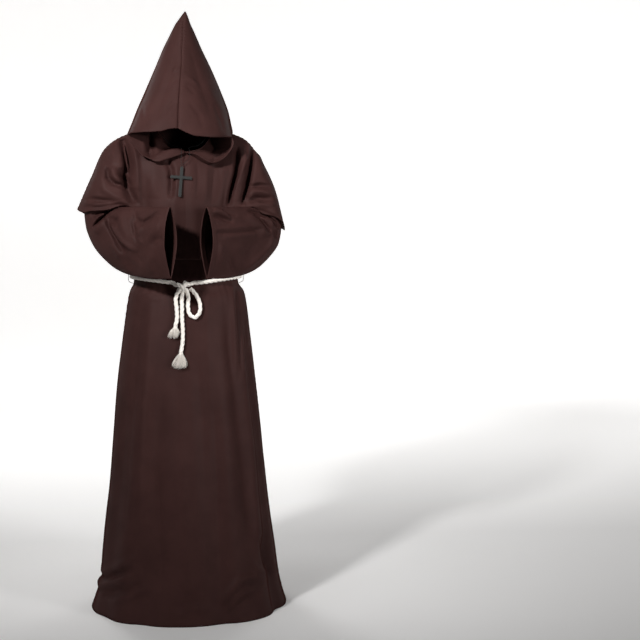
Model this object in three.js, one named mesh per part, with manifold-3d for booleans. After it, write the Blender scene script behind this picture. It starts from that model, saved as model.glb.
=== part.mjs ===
// Monk costume, worn and hollow: robe with long wide sleeves, shoulder cape with a tall pointed
// hood, rope belt tied at the front, and a plain cross on a fine chain.
// Millimetres, +Z up. The front faces -Y, the wearer's left is +X.
// The origin is between the shoulders, where the wearer holds the costume up.
import * as THREE from "three";
import * as BufferGeometryUtils from "three/addons/utils/BufferGeometryUtils.js";
import Module from "manifold-3d";

const wasm = await Module();
wasm.setup();

// Driving sizes
const CLOTH = 2.0; // thickness of the cloth wall
const SEAM = 0.3; // gap between two pieces at a seam
const SEAM_SHARE = 0.7; // each piece's share of that gap, a little over half for its corners
const FLOOR = -1423; // level on which the hem stands
const ARMPIT = -195; // level of the underarm
const BELT_LEVEL = -402; // level of the belt at the sides
const BELT_SAG = 15; // how much lower the belt hangs at the front
const ROPE = 12.4; // diameter of the rope
const STRAND_COUNT = 24; // strands in each frayed end
const CHAIN = 2.2; // diameter of the chain
const SHOULDER_TIP = { x: 188, y: 5, z: 6 };

const CLOTH_COLOUR = "#47332f";
const ROPE_COLOUR = "#efe6dc";
const METAL_COLOUR = "#3a3c3a";

// Small helpers
const lerp = (a, b, t) => a + (b - a) * t;
const clamp = (v, lo, hi) => Math.min(hi, Math.max(lo, v));
const rad = (deg) => (deg * Math.PI) / 180;
const smooth = (t) => t * t * (3 - 2 * t);
const mix = (p, q, t) => [lerp(p[0], q[0], t), lerp(p[1], q[1], t), lerp(p[2], q[2], t)];
const add = (p, q, k = 1) => [p[0] + q[0] * k, p[1] + q[1] * k, p[2] + q[2] * k];
const unit = (p) => {
  const length = Math.hypot(p[0], p[1], p[2]) || 1;
  return [p[0] / length, p[1] / length, p[2] / length];
};

// A curve through table values that never overshoots between two rows.
function through(xs, ys) {
  const n = xs.length;
  const slope = [];
  for (let i = 0; i < n - 1; i++) slope.push((ys[i + 1] - ys[i]) / (xs[i + 1] - xs[i]));
  const m = [slope[0]];
  for (let i = 1; i < n - 1; i++) {
    const product = slope[i - 1] * slope[i];
    m.push(product <= 0 ? 0 : (2 * product) / (slope[i - 1] + slope[i]));
  }
  m.push(slope[n - 2]);
  return (x) => {
    if (x <= xs[0]) return ys[0];
    if (x >= xs[n - 1]) return ys[n - 1];
    let i = 0;
    while (x > xs[i + 1]) i++;
    const h = xs[i + 1] - xs[i];
    const t = (x - xs[i]) / h;
    const t2 = t * t;
    const t3 = t2 * t;
    return (
      (2 * t3 - 3 * t2 + 1) * ys[i] +
      (t3 - 2 * t2 + t) * h * m[i] +
      (3 * t2 - 2 * t3) * ys[i + 1] +
      (t3 - t2) * h * m[i + 1]
    );
  };
}

// One curve for each column of a table, read at the table's own key.
function tableCurves(rows, key) {
  const sorted = [...rows].sort((a, b) => a[key] - b[key]);
  const keys = sorted.map((row) => row[key]);
  const curves = {};
  for (const name of Object.keys(rows[0])) {
    if (name !== key) curves[name] = through(keys, sorted.map((row) => row[name]));
  }
  return curves;
}

function bezier(p0, p1, p2, p3, t) {
  const s = 1 - t;
  const w = [s * s * s, 3 * s * s * t, 3 * s * t * t, t * t * t];
  return [0, 1, 2].map((i) => w[0] * p0[i] + w[1] * p1[i] + w[2] * p2[i] + w[3] * p3[i]);
}

// Directions run from the front (0) over the wearer's left (90) to the back (180) and the right (270).
function wrapAngle(a) {
  return ((((a + 180) % 360) + 360) % 360) - 180;
}

// Robe: half widths and depths at each level
const ROBE_SECTIONS = [
  { z: -195, right: 150, left: 150, front: 118, back: 108 },
  { z: -260, right: 150, left: 150, front: 118, back: 106 },
  { z: -330, right: 153, left: 152, front: 119, back: 106 },
  { z: -380, right: 161, left: 159, front: 121, back: 109 },
  { z: -402, right: 160, left: 160, front: 120, back: 108 },
  { z: -417, right: 160, left: 160, front: 120, back: 108 },
  { z: -450, right: 174, left: 176, front: 131, back: 119 },
  { z: -566, right: 193, left: 195, front: 154, back: 137 },
  { z: -731, right: 217, left: 214, front: 184, back: 160 },
  { z: -874, right: 229, left: 229, front: 208, back: 180 },
  { z: -1040, right: 243, left: 245, front: 237, back: 203 },
  { z: -1143, right: 256, left: 257, front: 252, back: 217 },
  { z: -1248, right: 267, left: 272, front: 268, back: 232 },
  { z: -1340, right: 275, left: 284, front: 280, back: 243 },
  { z: -1395, right: 292, left: 297, front: 288, back: 252 },
  { z: -1423, right: 302, left: 306, front: 292, back: 256 },
];
// Robe folds: direction at the belt and at the hem, depth inwards, half width, levels
const ROBE_FOLDS = [
  { atBelt: 14, atHem: 20, depth: 11, wide: 9, top: -560, bottom: -1423 },
  { atBelt: 48, atHem: 44, depth: 14, wide: 8, top: -440, bottom: -1290 },
  { atBelt: 74, atHem: 62, depth: 16, wide: 7, top: -440, bottom: -1423 },
  { atBelt: 104, atHem: 108, depth: 10, wide: 8, top: -480, bottom: -1423 },
  { atBelt: 128, atHem: 134, depth: 13, wide: 7, top: -440, bottom: -1000 },
  { atBelt: 151, atHem: 156, depth: 19, wide: 7, top: -440, bottom: -1423 },
  { atBelt: 178, atHem: 180, depth: 8, wide: 8, top: -600, bottom: -1423 },
  { atBelt: 214, atHem: 204, depth: 26, wide: 7, top: -440, bottom: -1423 },
  { atBelt: 240, atHem: 236, depth: 13, wide: 8, top: -460, bottom: -1423 },
  { atBelt: 268, atHem: 262, depth: 10, wide: 8, top: -560, bottom: -1423 },
  { atBelt: 300, atHem: 304, depth: 10, wide: 9, top: -700, bottom: -1423 },
  { atBelt: 334, atHem: 331, depth: 11, wide: 9, top: -620, bottom: -1423 },
];
const ROBE_ROWS = [
  -1423, -1400, -1368, -1330, -1280, -1210, -1120, -1020, -900, -780, -660, -566,
  -500, -455, -424, -402, -382, -340, -270, -195,
];
const ROBE_COLUMNS = 20; // across each panel
const YOKE_ROWS = 7; // from the underarm up to the shoulder

const robeCurves = tableCurves(ROBE_SECTIONS, "z");

// The belt's level round the robe, lowest at the front.
function beltLevel(angle) {
  const front = Math.max(0, Math.cos(rad(angle)));
  return BELT_LEVEL - BELT_SAG * front * front * front;
}

// A row's level: rows near the belt follow its sag.
function sagged(z, angle) {
  const near = clamp(1 - Math.abs(z - BELT_LEVEL) / 120, 0, 1);
  return z + (beltLevel(angle) - BELT_LEVEL) * smooth(near);
}

function robePoint(angle, z) {
  const a = rad(angle);
  const s = Math.sin(a);
  const c = Math.cos(a);
  const wide = s < 0 ? robeCurves.right(z) : robeCurves.left(z);
  const deep = c > 0 ? robeCurves.front(z) : robeCurves.back(z);
  const power = 2.3;
  const radius = 1 / Math.pow(Math.pow(Math.abs(s) / wide, power) + Math.pow(Math.abs(c) / deep, power), 1 / power);
  let inward = 0;
  for (const fold of ROBE_FOLDS) {
    if (z > fold.top || z < fold.bottom) continue;
    const span = fold.top - FLOOR;
    const down = (fold.top - z) / span;
    const centre = lerp(fold.atBelt, fold.atHem, down);
    const away = wrapAngle(angle - centre) / fold.wide;
    const fadeIn = smooth(clamp(((fold.top - z) / (fold.top - fold.bottom)) * 4, 0, 1));
    const fadeOut = fold.bottom > FLOOR + 1 ? smooth(clamp((z - fold.bottom) / 200, 0, 1)) : 1;
    inward += fold.depth * fadeIn * fadeOut * Math.exp(-away * away);
  }
  const r = radius - inward;
  return [s * r, -c * r, sagged(z, angle)];
}

// Neck seam, shared by the hood, the cape and, a wall lower, the robe
const NECK_RING = [
  { at: 0, r: 88, z: -24 },
  { at: 30, r: 86, z: -13 },
  { at: 60, r: 86, z: 20 },
  { at: 90, r: 88, z: 50 },
  { at: 135, r: 85, z: 58 },
  { at: 180, r: 74, z: 56 },
];
const neckCurves = tableCurves(NECK_RING, "at");
const ROBE_NECK_DROP = 4.0;

function neckPoint(angle, drop = 0) {
  const away = Math.abs(wrapAngle(angle));
  const r = neckCurves.r(away);
  return [Math.sin(rad(angle)) * r, -Math.cos(rad(angle)) * r, neckCurves.z(away) - drop];
}

const NECK_SHARE = 10 / ROBE_COLUMNS; // share of a panel's top edge taken by the neck

// Top edge of a robe panel: s from -1 (right shoulder tip) to 1 (left shoulder tip).
function yokeTop(s, isFront) {
  const side = s < 0 ? -1 : 1;
  const t = Math.abs(s);
  if (t <= NECK_SHARE) {
    const turn = (s / NECK_SHARE) * 90;
    return neckPoint(isFront ? turn : 180 - turn, ROBE_NECK_DROP);
  }
  const tip = [side * SHOULDER_TIP.x, SHOULDER_TIP.y, SHOULDER_TIP.z];
  const neck = neckPoint(side * 90, ROBE_NECK_DROP);
  const u = (t - NECK_SHARE) / (1 - NECK_SHARE);
  return mix(neck, tip, u);
}

// A robe panel above the underarm: s across, v from the underarm (0) to the shoulder (1).
function yokePoint(s, v, isFront) {
  const face = isFront ? -1 : 1;
  const low = robePoint(isFront ? s * 90 : 180 - s * 90, ARMPIT);
  const top = yokeTop(s, isFront);
  const t = Math.abs(s);
  const side = s < 0 ? -1 : 1;
  const edge = t * t * t * t;
  const body1 = add(low, [0, face * 3, 72]);
  const aside = smooth(clamp(t / NECK_SHARE, 0, 1));
  const radial = unit([top[0], top[1], 0]);
  const slope = mix([radial[0] * 18, radial[1] * 18, -38], [side * 4, face * 40, -22], aside);
  const body2 = add(top, t > NECK_SHARE ? [0, face * 40, lerp(-22, -10, (t - NECK_SHARE) / (1 - NECK_SHARE))] : slope);
  const arm1 = [side * 156, face * 74, ARMPIT + 38];
  const arm2 = [side * 178, face * 84, SHOULDER_TIP.z - 24];
  return bezier(low, mix(body1, arm1, edge), mix(body2, arm2, edge), top, v);
}

// The armhole: turn 0 at the shoulder tip, 90 in front, 180 at the underarm, 270 behind.
function armholePoint(side, turn) {
  const t = ((turn % 360) + 360) % 360;
  if (t <= 180) return yokePoint(side, 1 - t / 180, true);
  return yokePoint(side, (t - 180) / 180, false);
}

// Sleeve rings for the wearer's right arm: centre, then the half axes to the outer or lower side
// (out) and to the face seen from the front (face). The left arm is its mirror image.
const SLEEVE_RINGS = [
  { at: 0.55, cx: -222, cy: -8, cz: -151, ox: -34, oy: 40, oz: 33, fx: -37, fy: -36, fz: 33 },
  { at: 1, cx: -248, cy: -24, cz: -200, ox: -41, oy: 46, oz: -10, fx: -42, fy: -38, fz: 14 },
  { at: 1.35, cx: -246, cy: -28, cz: -224, ox: -38, oy: 42, oz: -34, fx: -43, fy: -38, fz: 6 },
  { at: 1.75, cx: -233, cy: -42, cz: -256, ox: -25, oy: 28, oz: -66, fx: -42, fy: -37, fz: 0 },
  { at: 2.15, cx: -208, cy: -72, cz: -281, ox: 0, oy: 0, oz: -92, fx: -38, fy: -34, fz: 0 },
  { at: 2.7, cx: -156, cy: -134, cz: -290, ox: 0, oy: 0, oz: -103, fx: -31, fy: -27, fz: 0 },
  { at: 3.3, cx: -100, cy: -198, cz: -293, ox: 0, oy: 0, oz: -106, fx: -25, fy: -22, fz: 0 },
  { at: 4, cx: -44, cy: -262, cz: -290, ox: 0, oy: 0, oz: -104, fx: -19, fy: -16, fz: 0 },
];
const LEFT_CUFF_SHIFT = 16; // the left cuff is further from the middle
// The left arm is held closer, as a share of the right arm's distance
const LEFT_CLOSER = through([0.55, 1, 1.35, 1.75], [0.905, 0.925, 0.962, 1]);
const SLEEVE_COLUMNS = 28;
const SLEEVE_ROWS = [0, 0.12, 0.3, 0.55, 0.8, 1, 1.18, 1.35, 1.55, 1.75, 1.95, 2.15, 2.4, 2.7, 3, 3.3, 3.65, 4];
const sleeveCurves = tableCurves(SLEEVE_RINGS, "at");
const SLEEVE_HEAD = 8; // fullness of the sleeve over the shoulder

function sleeveRing(side, at, turn) {
  const k = Math.max(at, SLEEVE_RINGS[0].at);
  const c = sleeveCurves;
  const co = Math.cos(rad(turn));
  const si = Math.sin(rad(turn));
  let x = c.cx(k) + c.ox(k) * co + c.fx(k) * si;
  const y = c.cy(k) + c.oy(k) * co + c.fy(k) * si;
  const z = c.cz(k) + c.oz(k) * co + c.fz(k) * si;
  if (side > 0) {
    const shift = LEFT_CUFF_SHIFT * smooth(clamp((k - 1) / 3, 0, 1));
    x = shift - x * LEFT_CLOSER(k);
  }
  return [x, y, z];
}

function sleevePoint(side, at, turn) {
  const first = SLEEVE_RINGS[0].at;
  if (at >= first) return sleeveRing(side, at, turn);
  const t = at / first;
  const start = armholePoint(side, turn - 45);
  const end = sleeveRing(side, first, turn);
  const onTop = Math.max(0, Math.cos(rad(turn - 45)));
  const lift = SLEEVE_HEAD * Math.sin(Math.PI * t) * onTop;
  return add(mix(start, end, smooth(t) * 0.4 + t * 0.6), [side * 0.75, 0, 0.66], lift);
}

// Cape: profile of each direction, from the neck seam over four levels to the hem
const CAPE_RIGHT = [
  { at: 0, r1: 112, z1: -70, r2: 126, z2: -140, r3: 133, z3: -230, r4: 137, z4: -346 },
  { at: 25, r1: 116, z1: -62, r2: 132, z2: -140, r3: 139, z3: -230, r4: 142, z4: -345 },
  { at: 45, r1: 126, z1: -38, r2: 145, z2: -115, r3: 148, z3: -205, r4: 149, z4: -335 },
  { at: 49, r1: 130, z1: -30, r2: 150, z2: -105, r3: 150, z3: -175, r4: 150, z4: -250 },
  { at: 52, r1: 134, z1: -26, r2: 156, z2: -92, r3: 156, z3: -145, r4: 154, z4: -186 },
  { at: 57, r1: 142, z1: -19, r2: 170, z2: -80, r3: 180, z3: -130, r4: 184, z4: -171 },
  { at: 62, r1: 150, z1: -13, r2: 188, z2: -68, r3: 210, z3: -122, r4: 220, z4: -175 },
  { at: 67, r1: 157, z1: -7, r2: 205, z2: -60, r3: 238, z3: -118, r4: 252, z4: -188 },
  { at: 73, r1: 165, z1: 0, r2: 224, z2: -50, r3: 264, z3: -112, r4: 295, z4: -200 },
  { at: 79, r1: 172, z1: 9, r2: 236, z2: -38, r3: 278, z3: -104, r4: 314, z4: -205 },
  { at: 90, r1: 180, z1: 31, r2: 243, z2: -10, r3: 286, z3: -98, r4: 330, z4: -196 },
  { at: 105, r1: 178, z1: 24, r2: 238, z2: -24, r3: 282, z3: -108, r4: 318, z4: -214 },
  { at: 125, r1: 160, z1: 18, r2: 205, z2: -48, r3: 236, z3: -130, r4: 262, z4: -230 },
  { at: 150, r1: 134, z1: 22, r2: 152, z2: -68, r3: 172, z3: -170, r4: 186, z4: -278 },
  { at: 180, r1: 110, z1: 28, r2: 128, z2: -60, r3: 138, z3: -170, r4: 152, z4: -288 },
];
const CAPE_LEFT = [
  { at: 0, r1: 112, z1: -70, r2: 126, z2: -140, r3: 133, z3: -230, r4: 137, z4: -346 },
  { at: 25, r1: 116, z1: -62, r2: 132, z2: -140, r3: 139, z3: -230, r4: 142, z4: -345 },
  { at: 45, r1: 126, z1: -38, r2: 145, z2: -115, r3: 148, z3: -205, r4: 149, z4: -335 },
  { at: 49, r1: 130, z1: -30, r2: 150, z2: -105, r3: 150, z3: -175, r4: 150, z4: -250 },
  { at: 52, r1: 134, z1: -26, r2: 156, z2: -92, r3: 156, z3: -145, r4: 154, z4: -186 },
  { at: 57, r1: 142, z1: -19, r2: 170, z2: -80, r3: 180, z3: -130, r4: 184, z4: -171 },
  { at: 62, r1: 150, z1: -13, r2: 188, z2: -68, r3: 210, z3: -122, r4: 222, z4: -184 },
  { at: 67, r1: 157, z1: -7, r2: 204, z2: -62, r3: 236, z3: -126, r4: 252, z4: -202 },
  { at: 73, r1: 163, z1: -2, r2: 218, z2: -54, r3: 262, z3: -126, r4: 290, z4: -222 },
  { at: 79, r1: 168, z1: 5, r2: 228, z2: -45, r3: 271, z3: -124, r4: 305, z4: -240 },
  { at: 90, r1: 181, z1: 20, r2: 236, z2: -52, r3: 277, z3: -142, r4: 306, z4: -262 },
  { at: 105, r1: 176, z1: 20, r2: 232, z2: -50, r3: 276, z3: -140, r4: 312, z4: -258 },
  { at: 125, r1: 160, z1: 16, r2: 204, z2: -56, r3: 238, z3: -140, r4: 268, z4: -240 },
  { at: 150, r1: 134, z1: 22, r2: 152, z2: -68, r3: 172, z3: -170, r4: 186, z4: -276 },
  { at: 180, r1: 110, z1: 28, r2: 128, z2: -60, r3: 138, z3: -170, r4: 152, z4: -288 },
];
// Cape folds: direction at the neck and at the hem, height outwards (or inwards below 0), half width
const CAPE_FOLDS = [
  { atNeck: 158, atHem: 139, out: 16, wide: 6 },
  { atNeck: 178, atHem: 160, out: -18, wide: 9 },
  { atNeck: 208, atHem: 186, out: 12, wide: 7 },
  { atNeck: 216, atHem: 205, out: 8, wide: 6 },
  { atNeck: 240, atHem: 232, out: -16, wide: 8 },
  { atNeck: 120, atHem: 122, out: -16, wide: 7 },
  { atNeck: 196, atHem: 172, out: -6, wide: 5 },
  { atNeck: 344, atHem: 346, out: 5, wide: 6 },
  { atNeck: 10, atHem: 12, out: 4, wide: 7 },
];
// Columns of the cape and the hood, closest where the cape passes the crook of the arm
const CAPE_COLUMNS = [
  0, 7, 14, 21, 28, 35, 41, 46, 49, 52, 56, 61, 66, 72, 78, 84, 90,
  97, 104, 112, 120, 128, 136, 144, 151, 158, 165, 172, 180,
];
const CAPE_ROWS = 11;
const capeRight = tableCurves(CAPE_RIGHT, "at");
const capeLeft = tableCurves(CAPE_LEFT, "at");

// Cape point: direction in degrees, v from the neck seam (0) to the hem (1).
function capePoint(angle, v) {
  const turn = wrapAngle(angle);
  const away = Math.abs(turn);
  const c = turn < 0 ? capeRight : capeLeft;
  const neck = neckPoint(angle);
  const knots = [0, 0.25, 0.5, 0.75, 1];
  const rs = [neckCurves.r(away), c.r1(away), c.r2(away), c.r3(away), c.r4(away)];
  const zs = [neck[2], c.z1(away), c.z2(away), c.z3(away), c.z4(away)];
  let r = through(knots, rs)(v);
  const z = through(knots, zs)(v);
  for (const fold of CAPE_FOLDS) {
    const centre = lerp(fold.atNeck, fold.atHem, v);
    const off = wrapAngle(angle - centre) / fold.wide;
    r += fold.out * Math.pow(v, 0.8) * Math.exp(-off * off);
  }
  return [Math.sin(rad(angle)) * r, -Math.cos(rad(angle)) * r, z];
}

// Hood: sections from the tip to the brim
const HOOD_SECTIONS = [
  { z: 400, right: 8, left: 8, front: 7, back: 9, mid: 18, shift: 4, power: 2 },
  { z: 385, right: 21, left: 19, front: 20, back: 22, mid: 14, shift: -1, power: 1.8 },
  { z: 363, right: 30, left: 28, front: 30, back: 32, mid: 10, shift: -3, power: 1.75 },
  { z: 298, right: 59, left: 52, front: 58, back: 58, mid: 6, shift: -2, power: 1.7 },
  { z: 226, right: 92, left: 84, front: 96, back: 84, mid: 4, shift: 0, power: 1.75 },
  { z: 164, right: 119, left: 110, front: 132, back: 98, mid: 0, shift: 0, power: 1.9 },
  { z: 99, right: 147, left: 134, front: 168, back: 106, mid: 0, shift: 0, power: 2.3 },
  { z: 62, right: 160, left: 142, front: 188, back: 106, mid: 0, shift: 0, power: 2.7 },
  { z: 25, right: 174, left: 150, front: 200, back: 100, mid: 0, shift: 0, power: 3.1 },
];
const hoodCurves = tableCurves(HOOD_SECTIONS, "z");
const HOOD_ROWS = 9;
const HOOD_SWITCH = 56; // direction of the brim's corners
const BRIM = [
  { at: 0, right: 43, left: 43 },
  { at: 7, right: 41, left: 30 },
  { at: 15, right: 34, left: 20 },
  { at: 30, right: 32, left: 17 },
  { at: 45, right: 31, left: 19 },
  { at: 56, right: 26, left: 20 },
  { at: 66, right: 33, left: 30 },
  { at: 90, right: 52, left: 50 },
  { at: 135, right: 66, left: 66 },
  { at: 180, right: 66, left: 66 },
];
const brimCurves = tableCurves(BRIM, "at");
const HOOD_TOP = 400;
const HOOD_TIP = { x: 4, y: 18, z: 408 };

function hoodPoint(side, away, v) {
  const low = side < 0 ? brimCurves.right(away) : brimCurves.left(away);
  const z = lerp(HOOD_TOP, low, Math.pow(v, 1.15));
  const c = hoodCurves;
  const s = Math.sin(rad(away));
  const k = Math.cos(rad(away));
  const wide = side < 0 ? c.right(z) : c.left(z);
  const deep = k > 0 ? c.front(z) : c.back(z);
  const power = c.power(z);
  const r = 1 / Math.pow(Math.pow(Math.abs(s) / wide, power) + Math.pow(Math.abs(k) / deep, power), 1 / power);
  const seamDrift = -20 * smooth(clamp((HOOD_TOP - z) / 360, 0, 1)) * Math.max(0, k) * Math.max(0, k);
  return [side * s * r + c.shift(z) + seamDrift, c.mid(z) - k * r, z];
}

// Free edge of each front below the brim, from the brim's corner to the middle of the neck
const LAPEL_RIGHT = [
  { q: 0, x: -171, y: -118, z: 26, lift: 4 },
  { q: 0.16, x: -153, y: -114, z: -6, lift: 6 },
  { q: 0.34, x: -130, y: -110, z: -34, lift: 2 },
  { q: 0.5, x: -105, y: -113, z: -46, lift: 4 },
  { q: 0.64, x: -84, y: -120, z: -54, lift: 16 },
  { q: 0.78, x: -58, y: -118, z: -47, lift: 18 },
  { q: 0.9, x: -28, y: -112, z: -37, lift: 14 },
  { q: 1, x: -1, y: -101, z: -28, lift: 3 },
];
const LAPEL_LEFT = [
  { q: 0, x: 147, y: -117, z: 20, lift: 4 },
  { q: 0.16, x: 146, y: -118, z: 0, lift: 2 },
  { q: 0.34, x: 134, y: -120, z: -24, lift: -2 },
  { q: 0.5, x: 108, y: -122, z: -48, lift: -6 },
  { q: 0.64, x: 82, y: -124, z: -56, lift: -8 },
  { q: 0.78, x: 54, y: -120, z: -44, lift: -6 },
  { q: 0.9, x: 28, y: -112, z: -30, lift: -2 },
  { q: 1, x: 1, y: -101, z: -28, lift: 3 },
];
const lapelRight = tableCurves(LAPEL_RIGHT, "q");
const lapelLeft = tableCurves(LAPEL_LEFT, "q");
const COWL_ROWS = 5;

// Lower hood: w from its outer edge (0) in to the neck seam (1).
function cowlPoint(side, away, w) {
  const inner = neckPoint(side * away);
  let outer;
  let lift;
  if (away >= HOOD_SWITCH) {
    outer = hoodPoint(side, away, 1);
    const toBack = clamp((away - HOOD_SWITCH) / (180 - HOOD_SWITCH), 0, 1);
    lift = lerp(4, -6, toBack);
  } else {
    const q = 1 - away / HOOD_SWITCH;
    const c = side < 0 ? lapelRight : lapelLeft;
    const corner = hoodPoint(side, HOOD_SWITCH, 1);
    const weld = smooth(clamp(1 - q / 0.16, 0, 1));
    outer = mix([c.x(q), c.y(q), c.z(q)], corner, weld);
    lift = c.lift(q);
  }
  const bulge = Math.sin(Math.PI * Math.pow(w, 0.8));
  return add(mix(outer, inner, w), [0, 0, 1], lift * bulge);
}

// Sheets: points shared along seams get the same thickness direction, so walls meet edge to edge.
const keyOf = (p) => p.map((v) => Math.round(v * 50)).join(",");

class Sheet {
  constructor(name) {
    this.name = name;
    this.points = [];
    this.index = new Map();
    this.quads = [];
  }

  vertex(p) {
    const key = keyOf(p);
    if (!this.index.has(key)) {
      this.index.set(key, this.points.length);
      this.points.push(p);
    }
    return this.index.get(key);
  }

  // Rows of points, first along the columns; outward faces follow the row and column order.
  grid(rows, flip = false) {
    const ids = rows.map((row) => row.map((p) => this.vertex(p)));
    for (let i = 0; i + 1 < ids.length; i++) {
      for (let j = 0; j + 1 < ids[i].length; j++) {
        const quad = [ids[i][j], ids[i][j + 1], ids[i + 1][j + 1], ids[i + 1][j]];
        this.quads.push(flip ? quad.reverse() : quad);
      }
    }
  }
}

function triangleNormal(a, b, c) {
  const u = [b[0] - a[0], b[1] - a[1], b[2] - a[2]];
  const v = [c[0] - a[0], c[1] - a[1], c[2] - a[2]];
  return [u[1] * v[2] - u[2] * v[1], u[2] * v[0] - u[0] * v[2], u[0] * v[1] - u[1] * v[0]];
}

function quadTriangles(q) {
  return [[q[0], q[1], q[2]], [q[0], q[2], q[3]]].filter((t) => new Set(t).size === 3);
}

// Normals of a family of sheets that share seams, by point.
function familyNormals(sheets) {
  const sums = new Map();
  for (const sheet of sheets) {
    for (const quad of sheet.quads) {
      for (const t of quadTriangles(quad)) {
        const n = triangleNormal(...t.map((i) => sheet.points[i]));
        for (const i of t) {
          const key = keyOf(sheet.points[i]);
          const sum = sums.get(key) || [0, 0, 0];
          sums.set(key, add(sum, n));
        }
      }
    }
  }
  return sums;
}

// How many sheets of the family use each point, to find the seams.
function familyUse(sheets) {
  const use = new Map();
  for (const sheet of sheets) {
    for (const p of sheet.points) use.set(keyOf(p), (use.get(keyOf(p)) || 0) + 1);
  }
  return use;
}

function wallGeometry(sheet, normals, use) {
  const count = sheet.points.length;
  const around = sheet.points.map(() => []);
  const edgeFaces = new Map();
  const triangles = sheet.quads.flatMap(quadTriangles);
  for (const t of triangles) {
    for (let k = 0; k < 3; k++) {
      const a = t[k];
      const b = t[(k + 1) % 3];
      edgeFaces.set(a + ">" + b, true);
    }
  }
  const isSeam = (i) => use.get(keyOf(sheet.points[i])) > 1;
  // Away from a seam: across its edge, in the sheet, towards the sheet's own cloth.
  for (const t of triangles) {
    for (let k = 0; k < 3; k++) {
      const a = t[k];
      const b = t[(k + 1) % 3];
      if (edgeFaces.has(b + ">" + a) || !isSeam(a) || !isSeam(b)) continue;
      const along = unit(add(sheet.points[b], sheet.points[a], -1));
      const face = unit(triangleNormal(...t.map((i) => sheet.points[i])));
      const inPlane = triangleNormal([0, 0, 0], face, along);
      for (const i of [a, b]) {
        const n = unit(normals.get(keyOf(sheet.points[i])));
        const across = unit(triangleNormal([0, 0, 0], n, along));
        const agree = across[0] * inPlane[0] + across[1] * inPlane[1] + across[2] * inPlane[2];
        around[i].push(agree > 0.05 ? across : inPlane);
      }
    }
  }
  const outer = [];
  const inner = [];
  for (let i = 0; i < count; i++) {
    const p = sheet.points[i];
    const n = unit(normals.get(keyOf(p)));
    let shift = [0, 0, 0];
    if (isSeam(i)) {
      const pull = around[i].reduce((sum, direction) => add(sum, direction), [0, 0, 0]);
      shift = add(shift, unit(pull), SEAM * SEAM_SHARE);
    }
    outer.push(add(p, shift));
    const deeper = add(add(p, shift), n, -CLOTH);
    inner.push([deeper[0], deeper[1], Math.max(deeper[2], FLOOR)]);
  }
  const positions = [];
  const put = (...points) => points.forEach((p) => positions.push(...p));
  for (const t of triangles) {
    put(outer[t[0]], outer[t[1]], outer[t[2]]);
    put(inner[t[0]], inner[t[2]], inner[t[1]]);
  }
  for (const t of triangles) {
    for (let k = 0; k < 3; k++) {
      const a = t[k];
      const b = t[(k + 1) % 3];
      if (edgeFaces.has(b + ">" + a)) continue;
      // Both pieces of a seam split its edge along the same diagonal.
      if (keyOf(sheet.points[a]) < keyOf(sheet.points[b])) {
        put(outer[b], outer[a], inner[a]);
        put(outer[b], inner[a], inner[b]);
      } else {
        put(outer[b], outer[a], inner[b]);
        put(outer[a], inner[a], inner[b]);
      }
    }
  }
  const geometry = new THREE.BufferGeometry();
  geometry.setAttribute("position", new THREE.Float32BufferAttribute(positions, 3));
  return geometry;
}

const clothMaterial = () => new THREE.MeshStandardMaterial({ color: CLOTH_COLOUR, roughness: 0.62, metalness: 0 });
const ropeMaterial = () => new THREE.MeshStandardMaterial({ color: ROPE_COLOUR, roughness: 0.9, metalness: 0 });
const metalMaterial = () => new THREE.MeshStandardMaterial({ color: METAL_COLOUR, roughness: 0.5, metalness: 0.8 });

const costume = new THREE.Group();

function piece(name, geometry, material) {
  const mesh = new THREE.Mesh(geometry, material);
  mesh.name = name;
  costume.add(mesh);
  return mesh;
}

function addFamily(sheets) {
  const normals = familyNormals(sheets);
  const use = familyUse(sheets);
  for (const sheet of sheets) piece(sheet.name, wallGeometry(sheet, normals, use), clothMaterial());
}

// Robe panels
function robePanel(name, isFront) {
  const sheet = new Sheet(name);
  const rows = [];
  const across = Array.from({ length: ROBE_COLUMNS + 1 }, (_, j) => -1 + (2 * j) / ROBE_COLUMNS);
  for (const z of ROBE_ROWS) rows.push(across.map((s) => robePoint(isFront ? s * 90 : 180 - s * 90, z)));
  for (let i = 1; i <= YOKE_ROWS; i++) rows.push(across.map((s) => yokePoint(s, i / YOKE_ROWS, isFront)));
  sheet.grid(rows, !isFront);
  return sheet;
}

// Sleeves start on the same armhole points as the robe panels.
function sleeveTurns() {
  const turns = [];
  for (let i = 0; i < 2 * YOKE_ROWS; i++) turns.push(45 + (i * 180) / YOKE_ROWS);
  turns.push(45);
  return turns;
}

function sleeveSheet(name, side) {
  const sheet = new Sheet(name);
  const rows = SLEEVE_ROWS.map((at) => sleeveTurns().map((turn) => sleevePoint(side, at, turn)));
  sheet.grid(rows, side < 0);
  return sheet;
}

addFamily([
  robePanel("robe_front", true),
  robePanel("robe_back", false),
  sleeveSheet("sleeve_right", -1),
  sleeveSheet("sleeve_left", 1),
]);

// Cape and hood share the neck seam.
function capeSheet(name, isFront) {
  const sheet = new Sheet(name);
  const half = CAPE_COLUMNS.filter((a) => (isFront ? a <= 90 : a >= 90));
  const angles = isFront
    ? [...half.slice(1).reverse().map((a) => -a), ...half]
    : [...half, ...half.slice(0, -1).reverse().map((a) => 360 - a)];
  const rows = [];
  for (let i = 0; i <= CAPE_ROWS; i++) rows.push(angles.map((a) => capePoint(a, i / CAPE_ROWS)));
  sheet.grid(rows, true);
  return sheet;
}

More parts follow.
